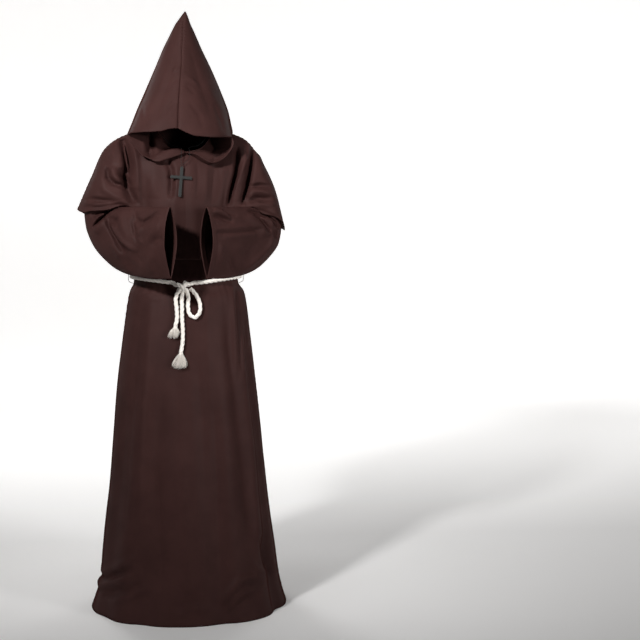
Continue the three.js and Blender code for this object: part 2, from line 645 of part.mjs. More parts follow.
function hoodSheet(name, side) {
  const sheet = new Sheet(name);
  const tip = [HOOD_TIP.x, HOOD_TIP.y, HOOD_TIP.z];
  const cone = [CAPE_COLUMNS.map(() => tip)];
  for (let i = 0; i <= HOOD_ROWS; i++) cone.push(CAPE_COLUMNS.map((a) => hoodPoint(side, a, i / HOOD_ROWS)));
  sheet.grid(cone, side > 0);
  const cowl = [];
  for (let i = 0; i <= COWL_ROWS; i++) cowl.push(CAPE_COLUMNS.map((a) => cowlPoint(side, a, i / COWL_ROWS)));
  sheet.grid(cowl, side > 0);
  return sheet;
}

addFamily([
  capeSheet("cape_front", true),
  capeSheet("cape_back", false),
  hoodSheet("hood_right", -1),
  hoodSheet("hood_left", 1),
]);

// Closed solids for booleans
function solidOf(geometry) {
  const bare = geometry.index ? geometry.toNonIndexed() : geometry.clone();
  bare.deleteAttribute("normal");
  bare.deleteAttribute("uv");
  const merged = BufferGeometryUtils.mergeVertices(bare, 1e-3);
  return new wasm.Manifold(
    new wasm.Mesh({
      numProp: 3,
      vertProperties: merged.attributes.position.array,
      triVerts: new Uint32Array(merged.index.array),
    }),
  );
}

function geometryOf(solid) {
  const mesh = solid.getMesh();
  const geometry = new THREE.BufferGeometry();
  const positions = [];
  for (let i = 0; i < mesh.numVert; i++) {
    for (let k = 0; k < 3; k++) positions.push(mesh.vertProperties[i * mesh.numProp + k]);
  }
  geometry.setAttribute("position", new THREE.Float32BufferAttribute(positions, 3));
  geometry.setIndex([...mesh.triVerts]);
  return geometry;
}

function tube(points, diameter, sides, steps) {
  const path = new THREE.CatmullRomCurve3(points.map((p) => new THREE.Vector3(...p)), false, "centripetal");
  const outline = new THREE.Shape();
  for (let i = 0; i < sides; i++) {
    const a = (i / sides) * 2 * Math.PI;
    const method = i === 0 ? "moveTo" : "lineTo";
    outline[method]((Math.cos(a) * diameter) / 2, (Math.sin(a) * diameter) / 2);
  }
  outline.closePath();
  return new THREE.ExtrudeGeometry(outline, { steps, extrudePath: path, bevelEnabled: false });
}

// Rope belt
const KNOT = { x: -9, y: -144, z: -427, wide: 22, deep: 16.5, tall: 20 };
const KNOT_WRAP = { radius: 14, x: -7 }; // the turn that binds the knot
const BELT_FROM = 9; // direction where the belt leaves the knot on the wearer's left
const BELT_TO = 342; // direction where it comes back on the wearer's right
const BELT_CLEAR = 1; // gap between the robe and the rope

function knotSolid(grow) {
  const core = new THREE.SphereGeometry(1, 12, 8);
  core.scale(KNOT.wide + grow, KNOT.deep + grow, KNOT.tall + grow);
  core.translate(KNOT.x, KNOT.y, KNOT.z);
  const wrap = new THREE.TorusGeometry(KNOT_WRAP.radius, ROPE / 2 + grow, 7, 12);
  wrap.rotateY(Math.PI / 2 - 0.35);
  wrap.translate(KNOT_WRAP.x, KNOT.y, KNOT.z);
  return solidOf(core).add(solidOf(wrap));
}

function beltPoint(angle) {
  const p = robePoint(angle, BELT_LEVEL);
  const ahead = robePoint(angle + 1, BELT_LEVEL);
  const outward = unit([ahead[1] - p[1], p[0] - ahead[0], 0]);
  return add(p, outward, -(ROPE / 2 + BELT_CLEAR) * Math.sign(outward[0] * -p[0] + outward[1] * -p[1]));
}

const beltPoints = [[-2, -143, -421], [12, -135, -419]];
for (let angle = BELT_FROM; angle <= BELT_TO; angle += (BELT_TO - BELT_FROM) / 36) beltPoints.push(beltPoint(angle));
beltPoints.push([-32, -136, -420], [-16, -143, -422]);

const LOOP_POINTS = [
  [-2, -145, -432], [6, -147, -455], [5, -149, -486], [10, -152, -508], [25, -153, -517],
  [39, -152, -503], [41, -149, -480], [31, -147, -453], [12, -145, -430],
];
const SHORT_END_POINTS = [[-20, -145, -432], [-31, -145, -459], [-29, -148, -491], [-28, -152, -518], [-33, -158, -542]];
const LONG_END_POINTS = [
  [-10, -146, -435], [-13, -147, -459], [-13, -150, -491], [-13, -154, -518], [-11, -161, -557],
  [-12, -167, -589], [-17, -173, -619],
];
const STRAND_ROOT = 1.25;
const STRAND_TIP = 0.8;

const knotClear = knotSolid(SEAM + 0.1);
const cutByKnot = (geometry) => geometryOf(solidOf(geometry).subtract(knotClear));
piece("rope_knot", geometryOf(knotSolid(0)), ropeMaterial());
piece("rope_belt", cutByKnot(tube(beltPoints, ROPE, 8, 60)), ropeMaterial());
piece("rope_bow_loop", cutByKnot(tube(LOOP_POINTS, ROPE, 8, 24)), ropeMaterial());
piece("rope_end_short", cutByKnot(tube(SHORT_END_POINTS, ROPE, 8, 10)), ropeMaterial());
piece("rope_end_long", cutByKnot(tube(LONG_END_POINTS, ROPE, 8, 16)), ropeMaterial());

// A frayed end: a short head and strands that fan out below it.
function frayed(name, top, bottom, spread, depth) {
  const down = unit(add(bottom, top, -1));
  const start = add(top, down, SEAM + 0.1);
  const headLength = 9;
  const head = new THREE.CylinderGeometry(ROPE / 2, ROPE / 2 + 0.8, headLength, 10);
  const turn = new THREE.Quaternion().setFromUnitVectors(new THREE.Vector3(0, -1, 0), new THREE.Vector3(...down));
  head.applyQuaternion(turn);
  head.translate(...add(start, down, headLength / 2));
  let whole = solidOf(head);
  const columns = Math.ceil(STRAND_COUNT / 4);
  for (let i = 0; i < STRAND_COUNT; i++) {
    const column = i % columns;
    const row = Math.floor(i / columns);
    const u = (column + 0.5 + (row % 2) * 0.4 - 0.2) / columns - 0.5;
    const v = (row + 0.5) / 4 - 0.5;
    const uneven = ((i * 37) % 11) / 11;
    const root = add(start, [u * ROPE * 0.9, v * ROPE * 0.9 * Math.sqrt(1 - 2.6 * u * u), -headLength * 0.5]);
    const tip = [bottom[0] + u * spread, bottom[1] + v * depth, bottom[2] + uneven * 7];
    const length = Math.hypot(...add(tip, root, -1));
    const strand = new THREE.CylinderGeometry(STRAND_TIP, STRAND_ROOT, length, 3);
    strand.translate(0, length / 2, 0);
    strand.applyQuaternion(
      new THREE.Quaternion().setFromUnitVectors(new THREE.Vector3(0, 1, 0), new THREE.Vector3(...unit(add(tip, root, -1)))),
    );
    strand.translate(...root);
    whole = whole.add(solidOf(strand));
  }
  piece(name, geometryOf(whole), ropeMaterial());
}

frayed("tassel_short", [-33, -158, -542], [-40, -165, -580], 32, 14);
frayed("tassel_long", [-17, -173, -619], [-22, -184, -669], 46, 17);

// Thread loops that carry the belt at the side seams
const LOOP_THREAD = 1.8;
for (const side of [-1, 1]) {
  const at = (z, out) => add(robePoint(side * 90, z), [side, 0, 0], out);
  const points = [at(-380, 0.6), at(-386, ROPE + 2.4), at(-402, ROPE + 4), at(-417, ROPE + 2.8), at(-424, 0.9)];
  piece(side < 0 ? "belt_loop_right" : "belt_loop_left", tube(points, LOOP_THREAD, 5, 12), clothMaterial());
}

// Cross with its eyelet, hanging on the chest
const CROSS = { tall: 91, wide: 64, bar: 9, thick: 5, arm: 33, top: [-9.5, -120, -68], foot: [-16.5, -136, -157] };

function crossGeometry() {
  const h = CROSS.bar / 2;
  const w = CROSS.wide / 2;
  const eye = 4.2;
  const shape = new THREE.Shape();
  shape.moveTo(-h, -CROSS.tall);
  shape.lineTo(h, -CROSS.tall);
  shape.lineTo(h, -CROSS.arm - h);
  shape.lineTo(w, -CROSS.arm - h);
  shape.lineTo(w, -CROSS.arm + h);
  shape.lineTo(h, -CROSS.arm + h);
  shape.lineTo(h, -1);
  for (let i = 0; i <= 8; i++) {
    const a = -0.9 + (i / 8) * (Math.PI + 1.8);
    shape.lineTo(eye * Math.cos(a), 2.4 + eye * Math.sin(a));
  }
  shape.lineTo(-h, -1);
  shape.lineTo(-h, -CROSS.arm + h);
  shape.lineTo(-w, -CROSS.arm + h);
  shape.lineTo(-w, -CROSS.arm - h);
  shape.lineTo(-h, -CROSS.arm - h);
  shape.closePath();
  const hole = new THREE.Path();
  hole.absarc(0, 2.8, 1.9, 0, 2 * Math.PI, true);
  shape.holes.push(hole);
  const geometry = new THREE.ExtrudeGeometry(shape, { depth: CROSS.thick, bevelEnabled: false, curveSegments: 5 });
  geometry.translate(0, 0, -CROSS.thick / 2);
  const down = new THREE.Vector3(...unit(add(CROSS.foot, CROSS.top, -1)));
  const across = new THREE.Vector3().crossVectors(new THREE.Vector3(0, -1, 0), down).normalize().negate();
  const up = down.clone().negate();
  const out = new THREE.Vector3().crossVectors(across, up);
  geometry.applyMatrix4(new THREE.Matrix4().makeBasis(across, up, out));
  geometry.translate(...CROSS.top);
  return geometry;
}

piece("pendant_cross", crossGeometry(), metalMaterial());

// The chain runs from the eyelet over the front of the neck and round inside the hood.
const chainPoints = [[-11, -121.1, -60.7], [-12, -117, -52], [-12, -114, -43], [-11, -110, -32], [-11, -105, -20], [-12, -95, -11]];
for (let angle = -14; angle >= -346; angle -= 16.6) {
  const p = neckPoint(angle);
  chainPoints.push([p[0] * 0.92, p[1] * 0.92, p[2] + 5 + 6 * Math.max(0, Math.cos(rad(angle)))]);
}
chainPoints.push([13, -95, -11], [13, -105, -20], [14, -111, -33], [12, -115, -43], [3, -119.5, -53], [-6, -121.5, -60]);
piece("pendant_chain", tube(chainPoints, CHAIN, 4, 64), metalMaterial());

export default costume;
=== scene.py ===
"""Monk costume, worn and hollow: hooded robe with shoulder cape, rope belt and a cross on a chain."""
import math
import random

import bpy
import numpy as np
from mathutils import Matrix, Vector


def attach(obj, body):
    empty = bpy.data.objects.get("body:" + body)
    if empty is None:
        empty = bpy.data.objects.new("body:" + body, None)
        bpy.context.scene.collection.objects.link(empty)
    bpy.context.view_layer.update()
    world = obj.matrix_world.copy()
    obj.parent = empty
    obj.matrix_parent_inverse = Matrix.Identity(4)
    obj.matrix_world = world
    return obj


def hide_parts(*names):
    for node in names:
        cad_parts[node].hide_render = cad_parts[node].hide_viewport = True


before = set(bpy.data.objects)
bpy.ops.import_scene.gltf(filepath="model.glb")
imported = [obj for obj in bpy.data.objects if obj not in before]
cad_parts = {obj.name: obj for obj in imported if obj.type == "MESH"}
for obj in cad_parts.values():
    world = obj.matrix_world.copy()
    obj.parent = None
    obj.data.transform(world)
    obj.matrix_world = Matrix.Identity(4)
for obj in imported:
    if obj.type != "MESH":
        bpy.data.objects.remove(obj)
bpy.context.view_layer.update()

bl_info = {
    "name": "Monk costume",
    "version": (1, 0, 0),
    "blender": (4, 5, 0),
    "location": "3D View > Sidebar > Costume",
    "description": "Builds a monk costume with its cape, hood, rope belt and cross",
    "category": "Add Mesh",
}

# Sizes of the cut, in millimetres, the same as the frame's
CLOTH = 2.0
FLOOR = -1423.0
ARMPIT = -195.0
BELT_LEVEL = -402.0
BELT_SAG = 15.0
SHOULDER_TIP = (188.0, 5.0, 6.0)
NECK_SHARE = 0.5
ROBE_ROUNDNESS = 2.3
ROBE_NECK_DROP = 4.0
SLEEVE_HEAD = 8.0
LEFT_CUFF_SHIFT = 16.0
HOOD_SWITCH = 56.0
HOOD_TOP = 400.0
HOOD_TIP = (4.0, 18.0, 408.0)

# z, half width right and left, half depth front and back
ROBE_SECTIONS = [
    (-195, 150, 150, 118, 108), (-260, 150, 150, 118, 106), (-330, 153, 152, 119, 106),
    (-380, 161, 159, 121, 109), (-402, 160, 160, 120, 108), (-417, 160, 160, 120, 108),
    (-450, 174, 176, 131, 119), (-566, 193, 195, 154, 137), (-731, 217, 214, 184, 160),
    (-874, 229, 229, 208, 180), (-1040, 243, 245, 237, 203), (-1143, 256, 257, 252, 217),
    (-1248, 267, 272, 268, 232), (-1340, 275, 284, 280, 243), (-1395, 292, 297, 288, 252),
    (-1423, 302, 306, 292, 256),
]
# direction at the belt and at the hem, depth inwards, half width in degrees, top and bottom level
ROBE_FOLDS = [
    (14, 20, 11, 9, -560, -1423), (48, 44, 14, 8, -440, -1290), (74, 62, 16, 7, -440, -1423),
    (104, 108, 10, 8, -480, -1423), (128, 134, 13, 7, -440, -1000), (151, 156, 19, 7, -440, -1423),
    (178, 180, 8, 8, -600, -1423), (214, 204, 26, 7, -440, -1423), (240, 236, 13, 8, -460, -1423),
    (268, 262, 10, 8, -560, -1423), (300, 304, 10, 9, -700, -1423), (334, 331, 11, 9, -620, -1423),
]
# direction, radius and level of the neck seam
NECK_RING = [(0, 88, -24), (30, 86, -13), (60, 86, 20), (90, 88, 50), (135, 85, 58), (180, 74, 56)]
# place along the arm, centre, half axis to the outer or lower side, half axis to the front
SLEEVE_RINGS = [
    (0.55, -222, -8, -151, -34, 40, 33, -37, -36, 33), (1, -248, -24, -200, -41, 46, -10, -42, -38, 14),
    (1.35, -246, -28, -224, -38, 42, -34, -43, -38, 6), (1.75, -233, -42, -256, -25, 28, -66, -42, -37, 0),
    (2.15, -208, -72, -281, 0, 0, -92, -38, -34, 0), (2.7, -156, -134, -290, 0, 0, -103, -31, -27, 0),
    (3.3, -100, -198, -293, 0, 0, -106, -25, -22, 0), (4, -44, -262, -290, 0, 0, -104, -19, -16, 0),
]
LEFT_CLOSER = [(0.55, 0.905), (1, 0.925), (1.35, 0.962), (1.75, 1)]
# direction, then radius and level at four places from the neck seam to the hem
CAPE_MIDDLE = [
    (0, 112, -70, 126, -140, 133, -230, 137, -346), (25, 116, -62, 132, -140, 139, -230, 142, -345),
    (45, 126, -38, 145, -115, 148, -205, 149, -335), (49, 130, -30, 150, -105, 150, -175, 150, -268),
    (52, 134, -26, 156, -92, 156, -145, 154, -212), (180, 110, 28, 128, -60, 138, -170, 152, -288),
]
CAPE_RIGHT = CAPE_MIDDLE + [
    (57, 142, -19, 170, -80, 180, -132, 184, -189), (62, 150, -13, 188, -68, 210, -124, 220, -184),
    (67, 157, -7, 205, -60, 238, -120, 252, -196),
    (73, 165, 0, 224, -50, 264, -112, 295, -200), (79, 172, 9, 236, -38, 278, -104, 314, -205),
    (90, 180, 31, 243, -10, 286, -98, 330, -196), (105, 178, 24, 238, -24, 282, -108, 318, -214),
    (125, 160, 18, 205, -48, 236, -130, 262, -230), (150, 134, 22, 152, -68, 172, -170, 186, -278),
]
CAPE_LEFT = CAPE_MIDDLE + [
    (57, 142, -19, 170, -80, 180, -132, 184, -190), (62, 150, -13, 188, -68, 210, -124, 222, -189),
    (67, 157, -7, 204, -62, 236, -128, 252, -207),
    (73, 163, -2, 218, -54, 262, -126, 290, -222), (79, 168, 5, 228, -45, 271, -124, 305, -240),
    (90, 181, 20, 236, -52, 277, -142, 306, -262), (105, 176, 20, 232, -50, 276, -140, 312, -258),
    (125, 160, 16, 204, -56, 238, -140, 268, -240), (150, 134, 22, 152, -68, 172, -170, 186, -276),
]
# direction at the neck and at the hem, height outwards, half width in degrees
CAPE_FOLDS = [
    (158, 139, 16, 6), (178, 160, -18, 9), (208, 186, 12, 7), (216, 205, 8, 6), (240, 232, -16, 8),
    (120, 122, -16, 7), (196, 172, -6, 5), (344, 346, 5, 6), (10, 12, 4, 7),
]
# directions of the hood's main columns, closest where the brim turns into the lapel
HOOD_COLUMNS = [
    0, 7, 14, 21, 28, 35, 41, 46, 49, 52, 56, 61, 66, 72, 78, 84, 90,
    97, 104, 112, 120, 128, 136, 144, 151, 158, 165, 172, 180,
]
# z, half width right and left, half depth front and back, middle, sideways shift, roundness
HOOD_SECTIONS = [
    (400, 5, 5, 5, 6, 18, 3, 2), (385, 14, 13, 14, 16, 14, 1, 1.8), (363, 26, 24, 26, 28, 10, -2, 1.75),
    (298, 59, 52, 58, 58, 6, -2, 1.7), (226, 92, 84, 96, 84, 4, 0, 1.75), (164, 119, 110, 132, 98, 0, 0, 1.9),
    (99, 147, 134, 168, 106, 0, 0, 2.3), (62, 160, 142, 188, 106, 0, 0, 2.7),
    (25, 174, 150, 200, 100, 0, 0, 3.1),
]
# direction, level of the brim on the right and on the left
BRIM = [
    (0, 43, 43), (7, 41, 30), (15, 34, 20), (30, 32, 17), (45, 31, 19), (56, 26, 20),
    (66, 33, 30), (90, 52, 50), (135, 66, 66), (180, 66, 66),
]
# share of the way from the brim's corner to the neck, free edge, and how far the cloth arches
LAPEL_RIGHT = [
    (0, -171, -118, 26, 4), (0.16, -153, -114, -6, 6), (0.34, -130, -110, -34, 2), (0.5, -105, -113, -46, 4),
    (0.64, -84, -120, -54, 16), (0.78, -58, -118, -47, 18), (0.9, -28, -112, -37, 14), (1, -1, -101, -28, 3),
]
LAPEL_LEFT = [
    (0, 147, -117, 20, 4), (0.16, 146, -118, 0, 2), (0.34, 134, -120, -24, -6), (0.5, 108, -122, -48, -16),
    (0.64, 82, -124, -56, -18), (0.78, 54, -120, -44, -16), (0.9, 28, -112, -30, -8), (1, 1, -101, -28, 3),
]

# Creases: half width, height outwards, then the points across and up (x, z), all in millimetres
ROBE_FRONT_CREASES = [
    (7, -10, 155, -422, 160, -497, 164, -586, 167, -681), (8, 5, 173, -437, 181, -527, 186, -622),
    (9, 5, 140, -443, 145, -556, 146, -705), (24, -9, 80, -792, 87, -999, 96, -1233, 103, -1407),
    (16, 5, 59, -466, 60, -674, 67, -910, 71, -1115), (34, -8, -88, -966, -84, -1170, -80, -1419),
    (22, 5, -32, -679, -23, -967, -13, -1230, -6, -1427), (4.5, -4, -152, -417, -129, -432, -105, -441),
    (4.5, 3.5, -141, -435, -111, -456, -78, -468), (4, -3, -114, -421, -84, -436, -54, -442),
    (4.5, -3, 29, -424, 59, -442, 98, -449), (4, 2.5, 41, -419, 83, -431, 125, -428),
    (16, -6, -135, -465, -154, -671, -176, -906, -195, -1168),
    (15, 5, -102, -465, -115, -642, -132, -877, -142, -1169),
    (10, 13, -284, -1356, -231, -1323, -175, -1284), (9, 8, -269, -1310, -222, -1277, -160, -1226),
    (8, -13, -278, -1333, -228, -1300, -169, -1258), (9, 7, -243, -1380, -185, -1350, -114, -1314),
    (7, -11, -261, -1368, -208, -1335, -143, -1302),
    (11, 13, 101, -1361, 152, -1295, 199, -1299, 235, -1324), (10, -16, 219, -1192, 236, -1251, 253, -1318),
    (7, 6, 176, -1235, 206, -1279, 247, -1304), (9, -11, 121, -1396, 169, -1357, 217, -1352),
    (10, 4, -38, -1392, 9, -1370, 56, -1380), (12, 5, 193, -853, 202, -1060, 218, -1236),
]
CAPE_FRONT_CREASES = [
    (12, -48, -189, 17, -178, -18, -172, -60, -176, -102, -174, -131, -163, -158, -151, -179),
    (7, -20, -234, -71, -230, -101, -214, -119, -184, -128),
    (7.5, -36, 157, -6, 157, -47, 155, -83, 141, -137, 131, -183),
    (8, -42, 203, -17, 198, -56, 192, -95, 183, -137, 170, -183),
    (9, -16, -54, -48, -42, -78, -40, -108, -43, -161),
    (7, 9, -158, 6, -146, -35, -142, -76, -141, -124, -136, -176),
    (8, -18, -195, -71, -190, -96, -179, -113, -170, -124), (5, 5, -184, -64, -175, -88, -164, -111),
    (9, 9, -218, -68, -209, -98, -185, -114), (11, 8, -252, -94, -240, -135, -206, -158, -165, -177),
    (12, 5, -212, 8, -216, -33, -211, -64), (8, -14, -293, -165, -256, -169, -214, -175),
    (4.5, 6, -308, -176, -267, -182, -233, -176, -203, -180),
    (4.5, -9, -304, -187, -263, -190, -237, -186, -199, -181, -165, -187),
    (22, 5, -98, -46, -95, -102, -99, -161), (9, -5, -143, -132, -129, -161, -126, -187),
    (6, 11, 176, -11, 181, -48, 169, -82, 152, -131, 140, -180),
    (6, 7, 193, 5, 193, -41, 188, -78, 180, -116), (12, 6, 222, -14, 224, -55, 229, -93),
    (8, -15, 193, -131, 222, -124, 258, -129), (6, 7, 195, -146, 208, -139, 237, -143, 267, -156),
    (9, -16, 189, -173, 214, -162, 239, -166, 258, -162), (4, 5, 182, -179, 191, -156, 203, -146),
    (7, 7, 181, -189, 221, -181, 269, -182), (6, -9, 187, -198, 233, -202, 275, -221, 297, -250),
    (9, -4, 35, -54, 39, -102, 34, -161), (9, -5, 89, -57, 85, -109, 79, -176),
    (12, 4, 117, -57, 113, -109, 105, -176), (9, 3.5, 65, -61, 62, -109, 57, -176),
]
SLEEVE_FRONT_CREASES = [
    (6, -12, -283, -213, -263, -208, -240, -203, -217, -190, -185, -187),
    (5, -12, -277, -250, -259, -232, -239, -214, -227, -201), (6, 5, -268, -226, -252, -211, -237, -205),
    (12, 7, -271, -265, -249, -242, -236, -226),
    (7, -13, -232, -216, -225, -246, -212, -272, -196, -298, -180, -321),
    (8, 9, -221, -236, -205, -262, -186, -285, -163, -305, -144, -315),
    (8, -8, -195, -223, -212, -233, -221, -216),
    (14, 6, -175, -200, -189, -219, -182, -252, -170, -279, -147, -302),
    (8, -9, -152, -193, -143, -226, -123, -236, -97, -220, -77, -203),
    (6, -7, -156, -223, -147, -262, -137, -292), (8, 5, -130, -246, -143, -275, -124, -295),
    (8, 5, -67, -216, -84, -249, -101, -272, -117, -292), (10, -5, -68, -276, -91, -282, -101, -302),
    (14, -6, -197, -335, -174, -348, -151, -368, -145, -388), (12, 5, -219, -295, -196, -328, -171, -361),
    (10, -4, -139, -302, -144, -332, -131, -355), (10, 4, -98, -322, -105, -352, -99, -381),
    (6, -9, 79, -210, 102, -218, 122, -227, 138, -228), (6, 6, 82, -194, 105, -202, 129, -215),
    (8, -4, 109, -192, 129, -203, 152, -212),
    (5, -6, 89, -261, 115, -261, 141, -261, 168, -258, 201, -257, 228, -255),
    (9, 4, 85, -250, 118, -250, 151, -251, 191, -247), (12, 4, 108, -273, 151, -271, 208, -270),
    (6, -14, 188, -200, 218, -209, 245, -217, 268, -234, 288, -260),
    (6, -12, 201, -214, 221, -223, 241, -247, 254, -263), (6, 8, 238, -220, 255, -233, 261, -250),
    (14, 7, 185, -210, 208, -233, 228, -253, 241, -277), (9, 5, 261, -277, 258, -300, 241, -323),
    (7, -8, 274, -283, 271, -270, 271, -253), (9, -5, 134, -336, 138, -363, 147, -383),
    (10, 4, 105, -293, 101, -323, 108, -353), (16, -4, 208, -296, 184, -323, 174, -349),
    (9, 4, 174, -376, 207, -350, 241, -323),
]
COWL_CREASES = [
    (9, -34, -106, 38, -106, 4, -104, -40), (9, 5, -122, 30, -121, 2, -118, -24),
    (8, 6, -86, 24, -84, -6, -82, -40), (24, -22, 64, 26, 72, 4, 80, -24),
]
HOOD_FRONT_CREASES = [
    (14, -3, -24, 290, -43, 196, -73, 113, -95, 53), (12, 2.5, -42, 249, -73, 166, -115, 83),
    (14, -3, 17, 291, 43, 196, 70, 113, 87, 42), (12, 2.5, 35, 249, 67, 173, 105, 96),
    (5, 3, -4, 232, -22, 226, -36, 214), (4.5, -3.5, -2, 206, -20, 196, -32, 180),
    (5, 3, 4, 196, 22, 190, 40, 174), (4.5, -2.5, 6, 168, 20, 158, 30, 146),
    (6, -3, -62, 77, -44, 107, -20, 137), (7, -4, -104, 41, -124, 77, -127, 118),
    (6, -3, 54, 42, 43, 84, 16, 119), (7, -4, 117, 36, 108, 72, 88, 119),
]
ROBE_BACK_CREASES = [
    (6, -10, 62, -413, 65, -549, 76, -698, 85, -846), (9, 6, 42, -425, 42, -579, 54, -817),
    (9, 5, 82, -431, 91, -579, 106, -787),
    (7, -14, -100, -410, -100, -597, -82, -933, -69, -1173, -60, -1426),
    (10, 7, -124, -431, -127, -609, -115, -906, -103, -1233),
    (10, 6, -72, -437, -66, -609, -48, -906, -30, -1233), (5, -7, 140, -419, 142, -490, 145, -552),
    (8, 5, 121, -425, 121, -549, 133, -757), (4.5, -5, -57, -413, -54, -490, -48, -579),
    (12, -4, -6, -425, -6, -639, 0, -876), (5, -7, 51, -291, 50, -342, 48, -386),
    (6, 4, -30, -300, -36, -347, -42, -386), (6, -4, 106, -312, 100, -353, 97, -389),
    (7, -6, 157, -639, 169, -876, 181, -1173, 193, -1411), (18, 6, 109, -876, 121, -1114, 133, -1417),
    (20, -6, 24, -876, 30, -1114, 30, -1429), (12, -6, -151, -757, -163, -995, -181, -1233),
    (7, 8, -121, -1328, -166, -1351, -217, -1345), (6, -6, -112, -1357, -163, -1381, -220, -1369),
    (8, 6, 217, -1369, 169, -1345, 121, -1363), (7, -5, 230, -1322, 187, -1304, 145, -1322),
]
CAPE_BACK_CREASES = [
    (8, 10, 33, 24, 60, -74, 97, -169, 130, -255), (7, -13, 0, 24, 21, -128, 45, -208, 60, -273),
    (7, 9, -45, -3, -33, -104, -24, -199, -21, -291), (6, 4, -18, -15, -6, -134, 12, -276),
    (6, 6, -66, -15, -82, -134, -91, -282), (5, -6, -57, -45, -57, -163, -57, -285),
    (6, 6, -97, 0, -118, -134, -130, -270), (5, -5, -106, -59, -112, -178, -112, -282),
    (7, 8, 208, -36, 181, -119, 163, -199, 151, -270), (5, -6, 187, -21, 169, -119, 151, -193, 139, -261),
    (6, -7, 226, -59, 202, -140, 181, -229), (6, -11, -133, -15, -160, -122, -178, -241),
    (6, 6, -154, -15, -187, -122, -211, -226), (6, -5, -181, -45, -223, -134, -245, -211),
    (8, 4, 106, -15, 109, -104, 121, -199), (6, 5, 254, -134, 233, -181, 217, -220),
]
HOOD_BACK_CREASES = [
    (5, -6, 88, 134, 91, 80, 91, 33), (5, 4, 72, 140, 72, 86, 69, 39), (5, -6, -60, 80, -88, 56, -115, 24),
    (5, 4, -48, 98, -76, 80, -109, 53), (8, -4, 30, 282, 57, 193, 97, 104),
    (8, 4, -30, 282, -60, 193, -97, 98), (4.5, -3, 39, 74, 15, 56, -12, 59),
    (5, -3, -3, 134, -30, 110, -60, 104),
]

# Ropes: thickness, one turn of the strands in thicknesses, share of the solid core
ROPE = 12.4
ROPE_LAY = 3.6
ROPE_CORE = 0.64
# Thread of the belt loops
THREAD = 1.8
# Loose yarns: radius, points along each, corners round each, and how far apart they leave the rope
YARN_THICK = 0.62
YARN_POINTS = 8
YARN_CORNERS = (0, 2.094, 4.189)
YARN_SPREAD = 5.2
FRAYED_HEAD = 9
KNOT_MIDDLE = (-9.0, -144.0, -427.0)
BELT_START = [(-2, -143, -421), (12, -135, -419)]
BELT_END = [(-32, -136, -420), (-16, -143, -422)]
BELT_FROM = 9.0
BELT_TO = 342.0
LOOP_POINTS = [
    (-2, -145, -432), (6, -147, -455), (5, -149, -486), (10, -152, -508), (25, -153, -517),
    (39, -152, -503), (41, -149, -480), (31, -147, -453), (12, -145, -430),
]
SHORT_END_POINTS = [
    (-20, -145, -432), (-31, -145, -459), (-29, -148, -491), (-28, -152, -518), (-33, -158, -542),
]
LONG_END_POINTS = [
    (-10, -146, -435), (-13, -147, -459), (-13, -150, -491), (-13, -154, -518), (-11, -161, -557),
    (-12, -167, -589), (-17, -173, -619),
]
# top, bottom, width and depth at the bottom
SHORT_TASSEL = ((-33, -158, -542), (-40, -165, -580), 32, 14)
LONG_TASSEL = ((-17, -173, -619), (-22, -184, -669), 46, 17)

# Cross and chain
CROSS_TALL = 91.0
CROSS_WIDE = 64.0
CROSS_BAR = 9.0
CROSS_THICK = 5.0
CROSS_ARM = 33.0
CROSS_TOP = (-9.5, -120.0, -68.0)
CROSS_FOOT = (-16.5, -136.0, -157.0)
# Links: length, width and wire, then their spacing; the chain's way round the neck in degrees
LINK = (3.1, 1.5, 0.62)
LINK_PITCH = 2.35
CROSS_RING = (6.6, 6.6, 1.7)
CHAIN_FROM = -14.0
CHAIN_TO = -346
CHAIN_STEP = 16.6
CHAIN_LEFT = [
    (-11, -121.1, -60.7), (-12, -117, -52), (-12, -114, -43),
    (-11, -110, -32), (-11, -105, -20), (-12, -95, -11),
]
CHAIN_RIGHT = [
    (13, -95, -11), (13, -105, -20), (14, -111, -33), (12, -115, -43), (3, -119.5, -53), (-6, -121.5, -60),
]

# Stage: the photo's camera, and for each light its place, target, size, spread in degrees and power
CAMERA_PLACE = (0.0, -4.4, -0.1429)
CAMERA_DOWN = 5.1604
CAMERA_TURN = -5.3955
CAMERA_LENS = 79.84
PAPER_WIDE = 16000
PAPER_FRONT = -14000
PAPER_BEND = 5200
PAPER_RADIUS = 1500
PAPER_TALL = 9000
WORLD_LIGHT = 0.04
LIGHTS = (
    ("key", (-1.5, -2.4, 1.25), (0.0, 0.0, 0.06), 0.3, 64, 15.0),
    ("fill", (2.3, -2.3, -0.1), (0.2, -0.15, -0.4), 0.6, 50, 4.4),
    ("top", (-0.3, -0.5, 2.6), (0.0, 0.0, 0.0), 0.8, 80, 3.0),
    ("back_left", (-1.3, 3.2, 1.0), (0.0, 0.0, -0.2), 1.0, 180, 42.0),
    ("back_right", (1.7, 3.2, 0.8), (0.0, 0.0, -0.2), 1.2, 180, 18.0),
)

# Grid points of the cloth: across, then upwards through its parts
ROBE_GRID = (161, 120, 38, 44)
SLEEVE_GRID = (121, 40, 120)
CAPE_GRID = (181, 84)
HOOD_GRID = (120, 46)

# Folds: power of a soft valley and of a steep one, and the depth from which a fold is steep
SOFT_VALLEY = 1.35
STEEP_VALLEY = 2.4
DEEP_FOLD = -9.0


# Curves through tables
def smooth(t):
    return t * t * (3 - 2 * t)


